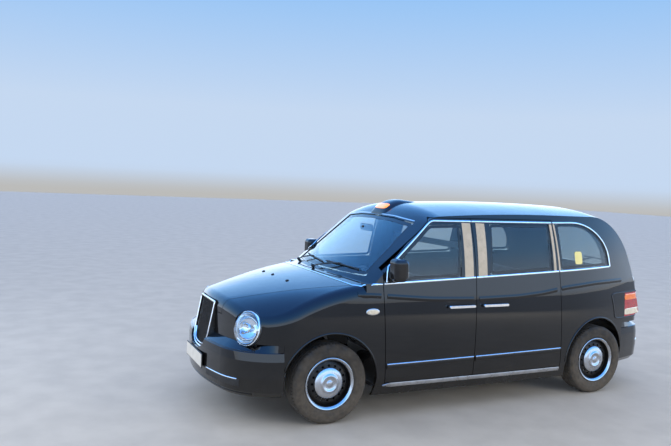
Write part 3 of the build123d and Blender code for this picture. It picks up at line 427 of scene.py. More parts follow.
def skinOf(*names):
    # the outer surface of some nodes, to lay trim on
    points, faces = [], []
    for name in names:
        mesh = nodes[name].data
        base = len(points)
        points.extend(point.co.copy() for point in mesh.vertices)
        faces.extend([base + corner for corner in face.vertices] for face in mesh.polygons)
    return BVHTree.FromPolygons(points, faces)


def spaced(route, step):
    # evenly spaced points along a line of corners
    lengths = [(b - a).length for a, b in zip(route, route[1:])]
    total = sum(lengths)
    count = max(2, round(total / step))
    places, leg, before = [], 0, 0.0
    for index in range(count + 1):
        want = total * index / count
        while leg < len(lengths) - 1 and want > before + lengths[leg]:
            before += lengths[leg]
            leg += 1
        share = (want - before) / lengths[leg] if lengths[leg] else 0.0
        places.append(route[leg].lerp(route[leg + 1], min(1.0, share)))
    return places


def eased(places, rounds):
    for _ in range(rounds):
        inner = [(a + b + c) / 3 for a, b, c in zip(places, places[1:], places[2:])]
        places = [places[0], *inner, places[-1]]
    return places


def easedLoop(corners, step, rounds):
    # evenly spaced points round a closed outline, its corners softened
    places = spaced(corners + [corners[0]], step)[:-1]
    for _ in range(rounds):
        places = [(places[index - 1] + place + places[(index + 1) % len(places)]) / 3
                  for index, place in enumerate(places)]
    return places


rayReach = 1.5  # how far each side of a place the skin is looked for


def laid(skin, places, toward):
    # each place carried on to the skin along a direction, or to the nearest point without one
    spots, leans = [], []
    for place in places:
        spot = None
        if toward is not None:
            # a ray that slips between two faces is sent again beside them
            for nudge in (0.0, 0.0004, -0.0004):
                start = place + Vector((nudge, nudge, nudge)) - toward * rayReach
                spot, lean, _, _ = skin.ray_cast(start, toward, 2 * rayReach)
                if spot is not None:
                    break
        if spot is None:
            spot, lean, _, _ = skin.find_nearest(place)
            if toward is None and lean.dot(place - Vector((place.x, 0, 0.7))) < 0:
                lean = -lean
        spots.append(spot)
        leans.append(lean)
    count = len(leans)
    smooth = []
    for index in range(count):
        total = Vector((0, 0, 0))
        for near in range(max(0, index - 3), min(count, index + 4)):
            total += leans[near]
        smooth.append(total.normalized())
    return spots, smooth


def joinRows(form, rows, closed=False):
    # faces between rows of points, each row a closed loop; the ends are capped unless the rows close too
    for near, far in zip(rows, rows[1:] + rows[:1] if closed else rows[1:]):
        for corner in range(len(near)):
            after = (corner + 1) % len(near)
            form.faces.new((near[corner], near[after], far[after], far[corner]))
    if not closed:
        form.faces.new(rows[0])
        form.faces.new(list(reversed(rows[-1])))


def sweep(form, places, leans, section, closed=False):
    # a section of (across, out) points carried along a line
    rows = []
    count = len(places)
    for index, (place, lean) in enumerate(zip(places, leans)):
        if closed:
            ahead = places[(index + 1) % count] - places[index - 1]
        else:
            ahead = places[min(index + 1, count - 1)] - places[max(index - 1, 0)]
        ahead.normalize()
        out = (lean - ahead * lean.dot(ahead)).normalized()
        across = ahead.cross(out)
        rows.append([form.verts.new(place + across * a + out * h) for a, h in section])
    joinRows(form, rows, closed)


def domed(half, height, sink=0.0015):
    return [(-half, -sink), (-half, height * 0.35), (-half * 0.72, height * 0.82), (-half * 0.3, height),
            (half * 0.3, height), (half * 0.72, height * 0.82), (half, height * 0.35), (half, -sink)]


def lathe(form, profile, centre, steps=96, closed=True):
    # (radius, offset) corners turned about a line along Y through the centre
    rings = []
    for radius, offset in profile:
        if radius < 1e-6:
            rings.append([form.verts.new((centre[0], centre[1] + offset, centre[2]))])
            continue
        ring = []
        for step in range(steps):
            angle = 2 * pi * step / steps
            ring.append(form.verts.new((centre[0] + radius * cos(angle), centre[1] + offset,
                                        centre[2] + radius * sin(angle))))
        rings.append(ring)
    count = len(rings)
    for index in range(count if closed else count - 1):
        near, far = rings[index], rings[(index + 1) % count]
        for step in range(steps):
            after = (step + 1) % steps
            kept = []
            for corner in (near[step % len(near)], near[after % len(near)],
                           far[after % len(far)], far[step % len(far)]):
                if corner not in kept:
                    kept.append(corner)
            if len(kept) > 2:
                form.faces.new(kept)
    return rings


def flat(points):
    return [Vector((x, 0, z)) for x, z in points]


def layTrim(name, route, skin, toward, section, material, body, slot, step=0.02, ease=0, pair=True):
    places = eased(spaced(route, step), ease)
    spots, leans = laid(skin, places, toward)
    form = bmesh.new()
    sweep(form, spots, leans, section)
    (addPair if pair else addPiece)(name, form, material, body, slot)


def roundedPlate(form, centre, across, up, width, height, depth, radius, steps=6):
    # a plate with round corners, its back on the centre's plane
    out = across.cross(up).normalized()
    outline = []
    for cx, cy, start in ((1, 1, 0), (-1, 1, 90), (-1, -1, 180), (1, -1, 270)):
        for step in range(steps + 1):
            angle = radians(start + 90 * step / steps)
            outline.append((cx * (width / 2 - radius) + radius * cos(angle),
                            cy * (height / 2 - radius) + radius * sin(angle)))
    rows = []
    for shrink, rise in ((0.0, 0.0), (0.0, depth * 0.6), (min(depth, radius) * 0.35, depth)):
        rows.append([form.verts.new(centre + across * (a * (1 - 2 * shrink / width))
                                    + up * (b * (1 - 2 * shrink / height)) + out * rise) for a, b in outline])
    joinRows(form, rows)


def domeOn(form, centre, across, up, half, tall, skin, toward, rows, square=1.0, steps=40):
    # a low dome laid on the skin; rows are (share of its size, rise), and a small square makes it boxy
    last, crown = rows[-1]
    rings = []
    for share, rise in [*rows, *[(last * part, crown) for part in (0.75, 0.5, 0.25, 0.03)]]:
        ring = []
        for step in range(steps):
            turn = 2 * pi * step / steps
            a = copysign(abs(cos(turn)) ** square, cos(turn)) * half * share
            b = copysign(abs(sin(turn)) ** square, sin(turn)) * tall * share
            spots, leans = laid(skin, [centre + across * a + up * b], toward)
            ring.append(form.verts.new(spots[0] + leans[0] * rise))
        rings.append(ring)
    joinRows(form, rings)


def drawnIn(corners, amount):
    # a flat outline made smaller by an amount all round
    area = sum(a[0] * b[1] - b[0] * a[1] for a, b in zip(corners, corners[1:] + corners[:1]))
    inner = []
    for index, here in enumerate(corners):
        before, after = corners[index - 1], corners[(index + 1) % len(corners)]
        first = Vector((here[0] - before[0], here[1] - before[1])).normalized()
        last = Vector((after[0] - here[0], after[1] - here[1])).normalized()
        first, last = Vector((-first.y, first.x)), Vector((-last.y, last.x))
        move = (first + last) * (copysign(amount, area) / (1 + first.dot(last)))
        inner.append((here[0] + move.x, here[1] + move.y))
    return inner


def layBorder(name, corners, end, skin, toward, half, material, body, slot, pair=True, rounds=5):
    # a flat band laid round a window on its glass; corners are (x, z) on a side and (y, z) on an end
    loop = [Vector((0, a, z)) if end else Vector((a, 0, z)) for a, z in drawnIn(corners, half + 0.002)]
    spots, leans = laid(skin, easedLoop(loop, 0.012, rounds), toward)
    form = bmesh.new()
    sweep(form, spots, leans, [(-half, -0.0006), (-half, 0.0008), (half, 0.0008), (half, -0.0006)], True)
    (addPair if pair else addPiece)(name, form, material, body, slot)


sideward = Vector((0, -1, 0))
backward = Vector((-1, 0, 0))
forward = Vector((1, 0, 0))
downward = Vector((0, 0, -1))
upward = Vector((0, 0, 1))
leftward = Vector((0, 1, 0))
leftDoor = skinOf("front_left_door")
leftRearDoor = skinOf("rear_left_door")
leftFrame = skinOf("left_side_frame")
leftWing = skinOf("front_wings")
shellSkin = skinOf("front_wings", "left_side_frame", "right_side_frame", "scuttle", "roof_panel")


def beltZ(x):
    return 1.170 + 0.04 * (1.036 - x)


# bright trim of the flanks

belt = {"half": 0.0085, "height": 0.0045, "rise": 0.008}
beltSection = domed(belt["half"], belt["height"])
for name, first, last, skin, body in (
        ("frontDoorBelt", 1.030, 0.074, leftDoor, "front_{side}_door_leaf"),
        ("rearDoorBelt", 0.062, -0.929, leftRearDoor, "rear_{side}_door_leaf"),
        ("tailBelt", -0.942, -1.672, leftFrame, "body_shell")):
    route = flat([(first, beltZ(first) + belt["rise"]), (last, beltZ(last) + belt["rise"])])
    layTrim(name, route, skin, sideward, beltSection, chrome, body, "chassis_steel")

windowTrim = {"half": 0.0075, "height": 0.0045}
trimSection = domed(windowTrim["half"], windowTrim["height"])
doorRoute = [(1.003, 1.192), (0.990, 1.312), (0.541, 1.697), (0.500, 1.7225), (0.071, 1.7225)]
layTrim("frontDoorWindowTrim", flat(doorRoute), leftDoor, sideward, trimSection, chrome,
        "front_{side}_door_leaf", "chassis_steel", 0.015, 2)
layTrim("rearDoorWindowTrim", flat([(0.064, 1.7225), (-0.905, 1.7245)]),
        leftRearDoor, sideward, trimSection, chrome, "rear_{side}_door_leaf", "chassis_steel")
tailRoute = [(-0.918, 1.7245), (-1.18, 1.7285)]
for step in range(1, 13):
    turn = radians(90 * step / 12)
    tailRoute.append((-1.18 - 0.502 * sin(turn), 1.348 + 0.3805 * cos(turn)))
tailRoute.append((-1.686, beltZ(-1.686) + belt["rise"]))
layTrim("tailWindowTrim", flat(tailRoute), leftFrame, sideward, trimSection, chrome, "body_shell",
        "chassis_steel", 0.015, 1)

rub = {"half": 0.024, "height": 0.009, "bead": 0.006}
for name, first, last, skin, body in (
        ("frontDoorRub", 0.982, 0.080, leftDoor, "front_{side}_door_leaf"),
        ("rearDoorRub", 0.056, -0.966, leftRearDoor, "rear_{side}_door_leaf")):
    rise = 0.482 + (0.985 - first) * 0.0122, 0.482 + (0.985 - last) * 0.0122
    layTrim(name + "Strip", flat([(first, rise[0] - 0.022), (last, rise[1] - 0.022)]), skin, sideward,
            domed(rub["half"], rub["height"]), glossPlastic, body, "black_plastic")
    layTrim(name + "Bead", flat([(first, rise[0]), (last, rise[1])]), skin, sideward,
            domed(rub["bead"], rub["height"] + 0.002), chrome, body, "chassis_steel")

# covers on the pillars between the windows, each a flat band down its pillar; their cream colour is a painted
# reflection of the bright low sky on gloss black panels
for name, top, foot, half, skin, body in (
        ("frontDoorPillar", (0.130, 1.706), (0.144, 1.216), 0.048, leftDoor, "front_{side}_door_leaf"),
        ("rearDoorPillar", (-0.028, 1.706), (-0.008, 1.222), 0.050, leftRearDoor, "rear_{side}_door_leaf"),
        ("rearDoorTailPillar", (-0.886, 1.708), (-0.886, 1.258), 0.015, leftRearDoor, "rear_{side}_door_leaf"),
        ("quarterPillar", (-0.930, 1.710), (-0.944, 1.260), 0.010, leftFrame, "body_shell")):
    band = [(-half, -0.001), (-half, 0.0015), (half, 0.0015), (half, -0.001)]
    layTrim(name, flat([top, foot]), skin, sideward, band, paintedReflectionCream, body, "chassis_steel")

# soft ridge along the waist
waistLine = [(1.280, 1.092), (1.007, 1.072), (0.549, 1.034), (0.063, 1.021), (-0.414, 1.030), (-0.727, 1.054),
             (-1.006, 1.096), (-1.432, 1.130), (-1.900, 1.140)]
waistPlaces = eased(spaced(flat(waistLine), 0.02), 6)
waistSection = [(-0.026, -0.001), (-0.014, 0.0022), (-0.004, 0.0050), (0.004, 0.0050), (0.014, 0.0022),
                (0.026, -0.001)]
for name, first, last, skin, body in (
        ("wingWaist", 1.280, 1.048, leftWing, "body_shell"),
        ("frontDoorWaist", 1.020, 0.080, leftDoor, "front_{side}_door_leaf"),
        ("rearDoorWaist", 0.056, -0.915, leftRearDoor, "rear_{side}_door_leaf"),
        ("tailWaist", -0.950, -1.880, leftFrame, "body_shell")):
    spots, leans = laid(skin, [place for place in waistPlaces if last <= place.x <= first], sideward)
    form = bmesh.new()
    sweep(form, spots, leans, waistSection)
    addPair(name, form, paint, body, "black_paint")

sill = {"half": 0.020, "height": 0.006}
layTrim("sillTread", flat([(1.045, 0.292), (-0.985, 0.292)]), leftFrame, sideward,
        domed(sill["half"], sill["height"]), satin, "body_shell", "chassis_steel")
print("flank trim laid")

# bonnet's rear edge, round to the belt, and the line over the windscreen
edge = {"rear": 1.302, "bow": 0.095, "half": 0.792, "behind": 0.016}
route = []
for step in range(25):
    y = edge["half"] * (1 - 2 * step / 24)
    bow = edge["bow"] * (1 - (y / edge["half"]) ** 2)
    route.append(Vector((edge["rear"] + bow - edge["behind"], y, 1.5)))
layTrim("bonnetRearEdge", route, shellSkin, downward, domed(0.006, 0.0035), chrome, "body_shell",
        "chassis_steel", 0.02, 0, False)
corner = [Vector(place) for place in ((1.286, 0.794, 1.16), (1.262, 0.826, 1.165), (1.215, 0.862, 1.17),
                                      (1.14, 0.893, 1.175), (1.046, 0.912, 1.178))]
layTrim("wingBelt", corner, shellSkin, None, trimSection, chrome, "body_shell", "chassis_steel", 0.012, 3)
headerLine = ((0.640, 1.699), (0.33, 1.727), (0.0, 1.735), (-0.33, 1.727), (-0.640, 1.699))
header = [Vector((2.0, y, z + 0.010)) for y, z in headerLine]
layTrim("windscreenHeader", header, shellSkin, backward, domed(0.006, 0.003), satin, "body_shell",
        "chassis_steel", 0.02, 2, False)

# arch lips, each over the stretch where the body's own panel goes round the wheel
wheelAt = {"front": 1.500, "rear": -1.485, "side": 0.795, "up": 0.343}
arch = {"radius": 0.4335, "half": 0.008, "height": 0.007}
for end, first, last, skin in (("front", 16, 178, leftWing), ("rear", 2, 164, leftFrame)):
    route = []
    for step in range(61):
        turn = radians(first + (last - first) * step / 60)
        route.append(Vector((wheelAt[end] + arch["radius"] * cos(turn), 0,
                             wheelAt["up"] + arch["radius"] * sin(turn))))
    layTrim(end + "ArchLip", route, skin, sideward, domed(arch["half"], arch["height"]), paint, "body_shell",
            "black_paint")
print("edges and arches laid")

# tyres and wheels

tyre = {"groove": 0.007, "sipe": 0.006, "pitches": 70}


def tyreProfile(cut):
    # (radius, offset) round the section; cut lowers the shoulder blocks
    side = [(0.2035, 0.058), (0.2075, 0.0745), (0.2205, 0.083), (0.232, 0.0925), (0.240, 0.0985),
            (0.2465, 0.1015), (0.250, 0.1012), (0.262, 0.1055), (0.275, 0.1075), (0.290, 0.1068),
            (0.300, 0.1052), (0.304, 0.1060), (0.312, 0.1040), (0.324, 0.0975), (0.334 - cut * 0.3, 0.0900),
            (0.3385 - cut, 0.0840), (0.342 - cut, 0.0740), (0.343 - cut, 0.0605)]
    grooves = []
    for y in (0.058, 0.022):
        grooves += [(0.3430 - cut if y > 0.05 else 0.3430, y + 0.0005), (0.3430 - tyre["groove"], y - 0.0018),
                    (0.3430 - tyre["groove"], y - 0.0082), (0.3430, y - 0.0105)]
    right = side + grooves
    return right + [(radius, -offset) for radius, offset in reversed(right)]


def makeTyres():
    for end in ("front", "rear"):
        form = bmesh.new()
        rings = []
        for pitch in range(tyre["pitches"]):
            for share, cut in ((0.0, 0.0), (0.76, 0.0), (0.80, tyre["sipe"]), (0.96, tyre["sipe"])):
                angle = 2 * pi * (pitch + share) / tyre["pitches"]
                rings.append([form.verts.new((wheelAt[end] + radius * cos(angle), wheelAt["side"] + offset,
                                              wheelAt["up"] + radius * sin(angle)))
                              for radius, offset in tyreProfile(cut)])
        joinRows(form, rings, True)
        addPair(end + "Tyre", form, tyreRubber, "roll_" + end + "_{side}", "tyre_rubber",
                [end + "_{side}_tyre"], 30.0)


coverProfile = [(0.0, 0.0955), (0.012, 0.0950), (0.022, 0.0925), (0.0255, 0.0880), (0.030, 0.0865),
                (0.046, 0.0875), (0.056, 0.0920), (0.062, 0.0955), (0.070, 0.0957), (0.0765, 0.0915),
                (0.083, 0.0850), (0.092, 0.0830), (0.108, 0.0815), (0.116, 0.0780), (0.124, 0.0745),
                (0.1295, 0.0695), (0.1300, 0.0640), (0.1285, 0.0600), (0.100, 0.0610), (0.0, 0.0610)]
rimProfile = [(0.1985, 0.0795), (0.2030, 0.0850), (0.2120, 0.0950), (0.2185, 0.0965), (0.2220, 0.0945),
              (0.2225, 0.0905), (0.2190, 0.0880), (0.2050, 0.0760), (0.1980, 0.0690), (0.1965, 0.0740)]


def makeWheelTrim():
    for end in ("front", "rear"):
        hub = (wheelAt[end], wheelAt["side"], wheelAt["up"])
        form = bmesh.new()
        lathe(form, coverProfile, hub, 96, False)
        addPair(end + "HubCover", form, satin, "roll_" + end + "_{side}", "wheel_steel")
        form = bmesh.new()
        lathe(form, rimProfile, hub, 128)
        addPair(end + "RimEdge", form, satin, "roll_" + end + "_{side}", "wheel_steel")


makeTyres()
makeWheelTrim()
print("tyres and wheel covers turned")

# grille, lamps and bumper

shield = {"low": Vector((2.402, 0, 0.520)), "top": Vector((2.320, 0, 0.957)),
          "half": 0.228, "waist": 0.222, "foot": 0.150}
shieldRise = (shield["top"] - shield["low"]).normalized()
shieldOut = Vector((shieldRise.z, 0, -shieldRise.x))
shieldTall = (shield["top"] - shield["low"]).length


def shieldPoint(y, height, out=0.0):
    return shield["low"] + shieldRise * height + Vector((0, y, 0)) + shieldOut * out


def shieldRoute(inset, bottom):
    half, waist, foot, tall = shield["half"], shield["waist"], shield["foot"], shieldTall
    right = [(half - inset, tall - inset), (waist - inset, 0.32 * tall),
             (foot + 0.045 - inset * 0.8, 0.13 * tall + inset * 0.5), (foot - 0.020, 0.03 * tall + inset),
             (0.060, inset)]
    if bottom:
        right = right[1:]
    outline = right + [(-y, height) for y, height in reversed(right)]
    return [shieldPoint(y, height) for y, height in outline]


form = bmesh.new()
ring = shieldRoute(0.0095, False)
ring = eased(spaced(ring + [ring[0]], 0.012), 1)
sweep(form, ring[:-1], [shieldOut] * (len(ring) - 1), domed(0.0085, 0.007), True)
addPiece("grilleFrame", form, chrome, "body_shell", "chassis_steel")
form = bmesh.new()
ring = eased(spaced(shieldRoute(0.034, True), 0.012), 2)
ring = [place + shieldOut * -0.006 for place in ring]
sweep(form, ring, [shieldOut] * len(ring), domed(0.0055, 0.006, 0.012))
addPiece("grilleLowerFrame", form, chrome, "body_shell", "chassis_steel")

lampPlace = (Matrix.Translation((2.150, 0.668, 0.800)) @ Matrix.Rotation(radians(27), 4, "Z")
             @ Matrix.Rotation(radians(78), 4, "Y"))


def addTurned(form, profile, place, steps, closed):
    # a lathed shape, its line carried by a matrix, added to a form
    piece = bmesh.new()
    lathe(piece, profile, (0, 0, 0), steps, closed)
    bmesh.ops.transform(piece, matrix=place, verts=piece.verts)
    mesh = bpy.data.meshes.new("turned")
    piece.to_mesh(mesh)
    piece.free()
    form.from_mesh(mesh)
    bpy.data.meshes.remove(mesh)


def lampRing(form, profile, steps=72, closed=True):
    # turned about the lamp's own axis; corners are (radius, height along it)
    addTurned(form, profile, lampPlace @ Matrix.Rotation(radians(90), 4, "X"), steps, closed)


form = bmesh.new()
lampRing(form, [(0.0, 0.058), (0.012, 0.0568), (0.022, 0.0525), (0.029, 0.046), (0.0325, 0.038),
                (0.0325, 0.034), (0.0, 0.034)], 48, False)
addPair("headlampProjector", form, lampGlass, "body_shell", "clear_glass")
form = bmesh.new()
lampRing(form, [(0.0335, 0.034), (0.0335, 0.043), (0.037, 0.0455), (0.0415, 0.041), (0.043, 0.028),
                (0.036, 0.020)], 64)
lampRing(form, [(0.128, 0.030), (0.130, 0.036), (0.1345, 0.0375), (0.1385, 0.033), (0.1385, 0.026),
                (0.131, 0.024)], 96)
addPair("headlampRings", form, chrome, "body_shell", "lamp_reflector")
form = bmesh.new()
places, leans = [], []
for step in range(41):
    turn = radians(-150 + 210 * step / 40)
    places.append(lampPlace @ Vector((0.112 * cos(turn), 0.112 * sin(turn), 0.020)))
    leans.append((lampPlace.to_3x3() @ Vector((0, 0, 1))).normalized())
sweep(form, places, leans, domed(0.006, 0.008, 0.004))
addPair("headlampArc", form, paleLamp, "body_shell", "clear_glass")
form = bmesh.new()
lampRing(form, [(0.1385, 0.008), (0.1425, 0.012), (0.1455, 0.010), (0.1455, -0.004), (0.1385, -0.006)], 96)
addPair("headlampSeal", form, trimPlastic, "body_shell", "black_plastic")

bumperSkin = skinOf("front_bumper")
bar = {"half": 0.0055, "height": 0.0055, "inner": 0.300, "outer": 0.720}
layTrim("bumperSlot", [Vector((2.0, 0.300, 0.372)), Vector((2.0, 0.735, 0.372))], bumperSkin, backward,
        domed(0.030, 0.0022), trimPlastic, "body_shell", "black_plastic")
layTrim("bumperStrip", [Vector((2.0, bar["inner"], 0.404)), Vector((2.0, bar["outer"], 0.404))], bumperSkin,
        backward, domed(bar["half"], bar["height"]), chrome, "body_shell", "chassis_steel")
layTrim("bumperLip", [Vector((2.0, 0.790, 0.285)), Vector((2.0, -0.790, 0.285))], bumperSkin, backward,
        domed(0.010, 0.006), glossPlastic, "body_shell", "black_plastic", 0.03, 0, False)
layTrim("bumperLedge", [Vector((2.0, 0.800, 0.634)), Vector((2.0, 0.235, 0.634))], bumperSkin, backward,
        domed(0.006, 0.005), paint, "body_shell", "black_paint", 0.03)

runOut = {"reach": 0.270, "depth": 0.098, "low": 0.631, "high": 0.6892}


def layRunOut(name, skin, start, reach):
    # a bumper's ledge runs out into the body at its outer end
    form = bmesh.new()
    rows = []
    for step in range(17):
        spots, leans = laid(skin, [Vector((start + reach * step / 16, 0, runOut["low"]))], sideward)
        inner = spots[0] - Vector((leans[0].x, leans[0].y, 0)).normalized() * runOut["depth"]
        high = spots[0].lerp(inner, (0.97 * step / 16) ** 1.5)
        inner.z = high.z = runOut["high"]
        rows.append([form.verts.new(place) for place in (spots[0], high, inner)])
    joinRows(form, rows)
    addPair(name, form, paint, "body_shell", "black_paint")


bumperEnd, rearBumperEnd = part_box("front_bumper")[0].x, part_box("rear_bumper")[1].x
layRunOut("bumperLedgeEnd", bumperSkin, bumperEnd + 0.0005, runOut["reach"])
layRunOut("rearBumperLedgeEnd", skinOf("rear_bumper"), rearBumperEnd - 0.0005, -1.4 * runOut["reach"])

plate = {"frontZ": 0.445, "rearZ": 0.800, "gap": 0.002, "step": 0.0078, "wide": 0.520, "tall": 0.111}


def addPlate(end, spot, toward, z, holderTall, material, body):
    # a blank plate in its holder, both facing the way given
    across = Vector((0, toward.x, 0))
    form = bmesh.new()
    centre = Vector((spot.x, 0, z)) + toward * plate["gap"]
    roundedPlate(form, centre, across, upward, plate["wide"] + 0.020, holderTall, 0.006, 0.008)
    addPiece(end + "PlateHolder", form, trimPlastic, body, "black_plastic")
    form = bmesh.new()
    centre = Vector((spot.x, 0, z)) + toward * plate["step"]
    roundedPlate(form, centre, across, upward, plate["wide"], plate["tall"], 0.003, 0.006)
    addPiece(end + "Plate", form, material, body, "black_plastic")


spot = laid(bumperSkin, [Vector((2.0, 0, plate["frontZ"]))], backward)[0][0]
addPlate("front", spot, forward, plate["frontZ"], 0.128, whitePlate, "body_shell")
print("grille, headlamps and bumper dressed")

# handles, mirrors, repeaters

handle = {"length": 0.2845, "height": 0.0285, "root": 0.9385, "face": 0.9488, "front": 0.9652, "end": 0.041,
          "z": 0.962, "round": 0.0115}
for end, x in (("front", 0.242), ("rear", -0.136)):
    form = bmesh.new()
    roundedPlate(form, Vector((x, handle["face"], handle["z"])), backward, upward, handle["length"],
                 handle["height"], handle["front"] - handle["face"], handle["round"], 8)
    for way in (-1, 1):
        middle = x + way * (handle["length"] - handle["end"]) / 2
        roundedPlate(form, Vector((middle, handle["root"], handle["z"])), backward, upward, handle["end"],
                     handle["height"], handle["front"] - handle["root"] - 0.001, handle["round"], 8)
    addPair(end + "HandleCap", form, chrome, end + "_{side}_door_leaf", "chassis_steel")

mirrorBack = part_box("left_mirror")[0].x
form = bmesh.new()
roundedPlate(form, Vector((mirrorBack + 0.001, 0.948, 1.302)), leftward, downward, 0.108, 0.158, 0.003,
             0.030, 8)
addPair("mirrorGlass", form, mirrorSilver, "front_{side}_door_leaf", "clear_glass")

repeater = {"x": 1.140, "z": 0.944, "half": 0.059, "tall": 0.023, "ring": 0.005}
for name, grow, height, material, slot in (
        ("repeaterRing", repeater["ring"], 0.005, satin, "chassis_steel"),
        ("repeaterLens", 0.0, 0.009, paleLamp, "clear_glass")):
    form = bmesh.new()
    domeOn(form, Vector((repeater["x"], 0, repeater["z"])), forward, upward, repeater["half"] + grow,
           repeater["tall"] + grow, leftWing, sideward,
           ((1.0, -0.002), (1.0, height * 0.5), (0.9, height * 0.85), (0.6, height)))
    addPair(name, form, material, "body_shell", slot)
print("handles, mirrors and repeaters fitted")

# roof sign

fairing = {"front": 0.652, "rear": 0.228, "half": 0.150, "top": 1.8865, "nose": 0.16, "sink": 0.003}
roofSkin = skinOf("roof_panel")
shares = [step / 40 for step in range(41)]
rises = [sin(pi / 2 * min(1.0, share / fairing["nose"])) ** 0.7 if share < fairing["nose"]
         else max(0.0, 1 - ((share - fairing["nose"]) / (1 - fairing["nose"])) ** 1.7) for share in shares]
places = [fairing["front"] + (fairing["rear"] - fairing["front"]) * share for share in shares]
roofs = [laid(roofSkin, [Vector((x, 0, 3.0))], downward)[0][0].z for x in places]
tallest = min((fairing["top"] - roof) / rise for roof, rise in zip(roofs, rises) if rise > 0.3)
form = bmesh.new()
rows = []
for share, rise, x in zip(shares, rises, places):
    half = fairing["half"] * (0.30 + 0.70 * (1 - share ** 2.4))
    half *= 1 - 0.12 * (1 - min(1.0, share / 0.1)) ** 2  # drawn in a little at the very front
    across = [step / 12 for step in range(-12, 13)]
    lows = laid(roofSkin, [Vector((x, half * a, 3.0)) for a in across], downward)[0]
    tops = [low + upward * (tallest * rise * (1 - abs(a) ** 3.2) ** 0.8) for low, a in zip(lows, across)]
    buried = [low - upward * fairing["sink"] for low in reversed(lows)]
    rows.append([form.verts.new(place) for place in tops + buried])
joinRows(form, rows)
bmesh.ops.recalc_face_normals(form, faces=form.faces)
signSkin = BVHTree.FromBMesh(form)
addPiece("signFairing", form, glossPlastic, "body_shell", "black_plastic", ["roof_sign"])
form = bmesh.new()
domeOn(form, Vector((1.0, 0, 1.818)), leftward, upward, 0.112, 0.024, signSkin, backward,
       ((1.0, -0.002), (1.0, 0.003), (0.975, 0.0045)), 0.5, 48)
addPiece("signLens", form, orangeLens, "body_shell", "orange_sign")

# borders of the windows
border = {"side": 0.013, "screen": 0.021, "rear": 0.024}
sideWindows = {
    "front": [(0.972, beltZ(0.972) + 0.028), (0.952, 1.325), (0.532, 1.682), (0.195, 1.692),
              (0.232, beltZ(0.232) + 0.022)],
    "rear": [(-0.092, beltZ(-0.092) + 0.022), (-0.136, 1.700), (-0.868, 1.704),
             (-0.852, beltZ(-0.852) + 0.022)]}
for end, corners in sideWindows.items():
    layBorder(end + "DoorGlassBorder", corners, False, skinOf(end + "_left_door_glass"), sideward,
              border["side"], glossPlastic, end + "_{side}_door_leaf", "black_plastic")
quarterSkin = skinOf("quarter_glass")
quarterTop, quarterLow = 1.716, beltZ(-1.668) + 0.022
quarterRise = quarterTop - quarterLow - 0.048
corners = [(-0.960, beltZ(-0.960) + 0.022), (-0.960, quarterTop), (-1.180, quarterTop)]
for step in range(1, 10):
    turn = radians(90 * step / 10)
    corners.append((-1.180 - 0.488 * sin(turn), quarterLow + 0.048 + quarterRise * cos(turn)))
corners.append((-1.668, quarterLow))
layBorder("quarterGlassBorder", corners, False, quarterSkin, sideward, border["side"], glossPlastic,
          "body_shell", "black_plastic", True, 3)
screenSkin = skinOf("windscreen")
corners = [(0.738, 1.222), (0.655, 1.692), (0.330, 1.724), (0.0, 1.732), (-0.330, 1.724), (-0.655, 1.692),
           (-0.738, 1.222)]
layBorder("windscreenBorder", corners, True, screenSkin, backward, border["screen"], glossPlastic,
          "body_shell", "black_plastic", False)
rearScreenSkin = skinOf("rear_screen")
corners = [(0.505, 1.236), (0.425, 1.690), (-0.425, 1.690), (-0.505, 1.236)]
layBorder("rearScreenBorder", corners, True, rearScreenSkin, forward, border["rear"], glossPlastic,
          "tailgate_lid", "black_plastic", False)
form = bmesh.new()
domeOn(form, Vector((-1.216, 0, 1.382)), forward, upward, 0.050, 0.062, quarterSkin, sideward,
       ((1.0, -0.0004), (1.0, 0.0012)), 0.35, 32)
addPiece("licenceSticker", form, paleSticker, "body_shell", "clear_glass")
print("window borders laid")

# wipers and washer jets
wiper = {"blade": 0.0075, "arm": 0.0075, "lift": 0.012}


def makeWiper(name, skin, toward, body, pivot, elbow, tip, sag):
    # the blade lies on the glass, and the arm runs from its pivot to the blade's middle
    route = [elbow.lerp(tip, step / 24) for step in range(25)]
    for index, place in enumerate(route):
        place.z += sag * (1 - (index / 12 - 1) ** 2)
    spots, leans = laid(skin, route, toward)
    form = bmesh.new()
    blade = wiper["blade"]
    sweep(form, [spot + lean * 0.001 for spot, lean in zip(spots, leans)], leans,
          [(-0.002, 0.0), (-blade, 0.010), (-blade * 0.7, 0.014), (blade * 0.7, 0.014), (blade, 0.010),
           (0.002, 0.0)])
    middle = spots[12] + leans[12] * 0.018
    foot = laid(shellSkin if body == "body_shell" else skin, [pivot], toward)
    foot = foot[0][0] + foot[1][0] * 0.020
    arm = []
    for step in range(13):
        arm.append(foot.lerp(middle, step / 12) + leans[12] * (wiper["lift"] * sin(pi * step / 12)))
    sweep(form, eased(arm, 1), [leans[12]] * 13, domed(wiper["arm"], 0.008, 0.002))
    addPiece(name, form, trimPlastic, body, "black_plastic")
    form = bmesh.new()
    lathe(form, [(0.0, 0.016), (0.011, 0.014), (0.0145, 0.006), (0.0145, -0.020), (0.0, -0.020)], (0, 0, 0),
          32, False)
    turn = leans[12].to_track_quat("Y", "Z").to_matrix().to_4x4()
    bmesh.ops.transform(form, matrix=Matrix.Translation(foot) @ turn, verts=form.verts)
    addPiece(name + "Cap", form, trimPlastic, body, "black_plastic")


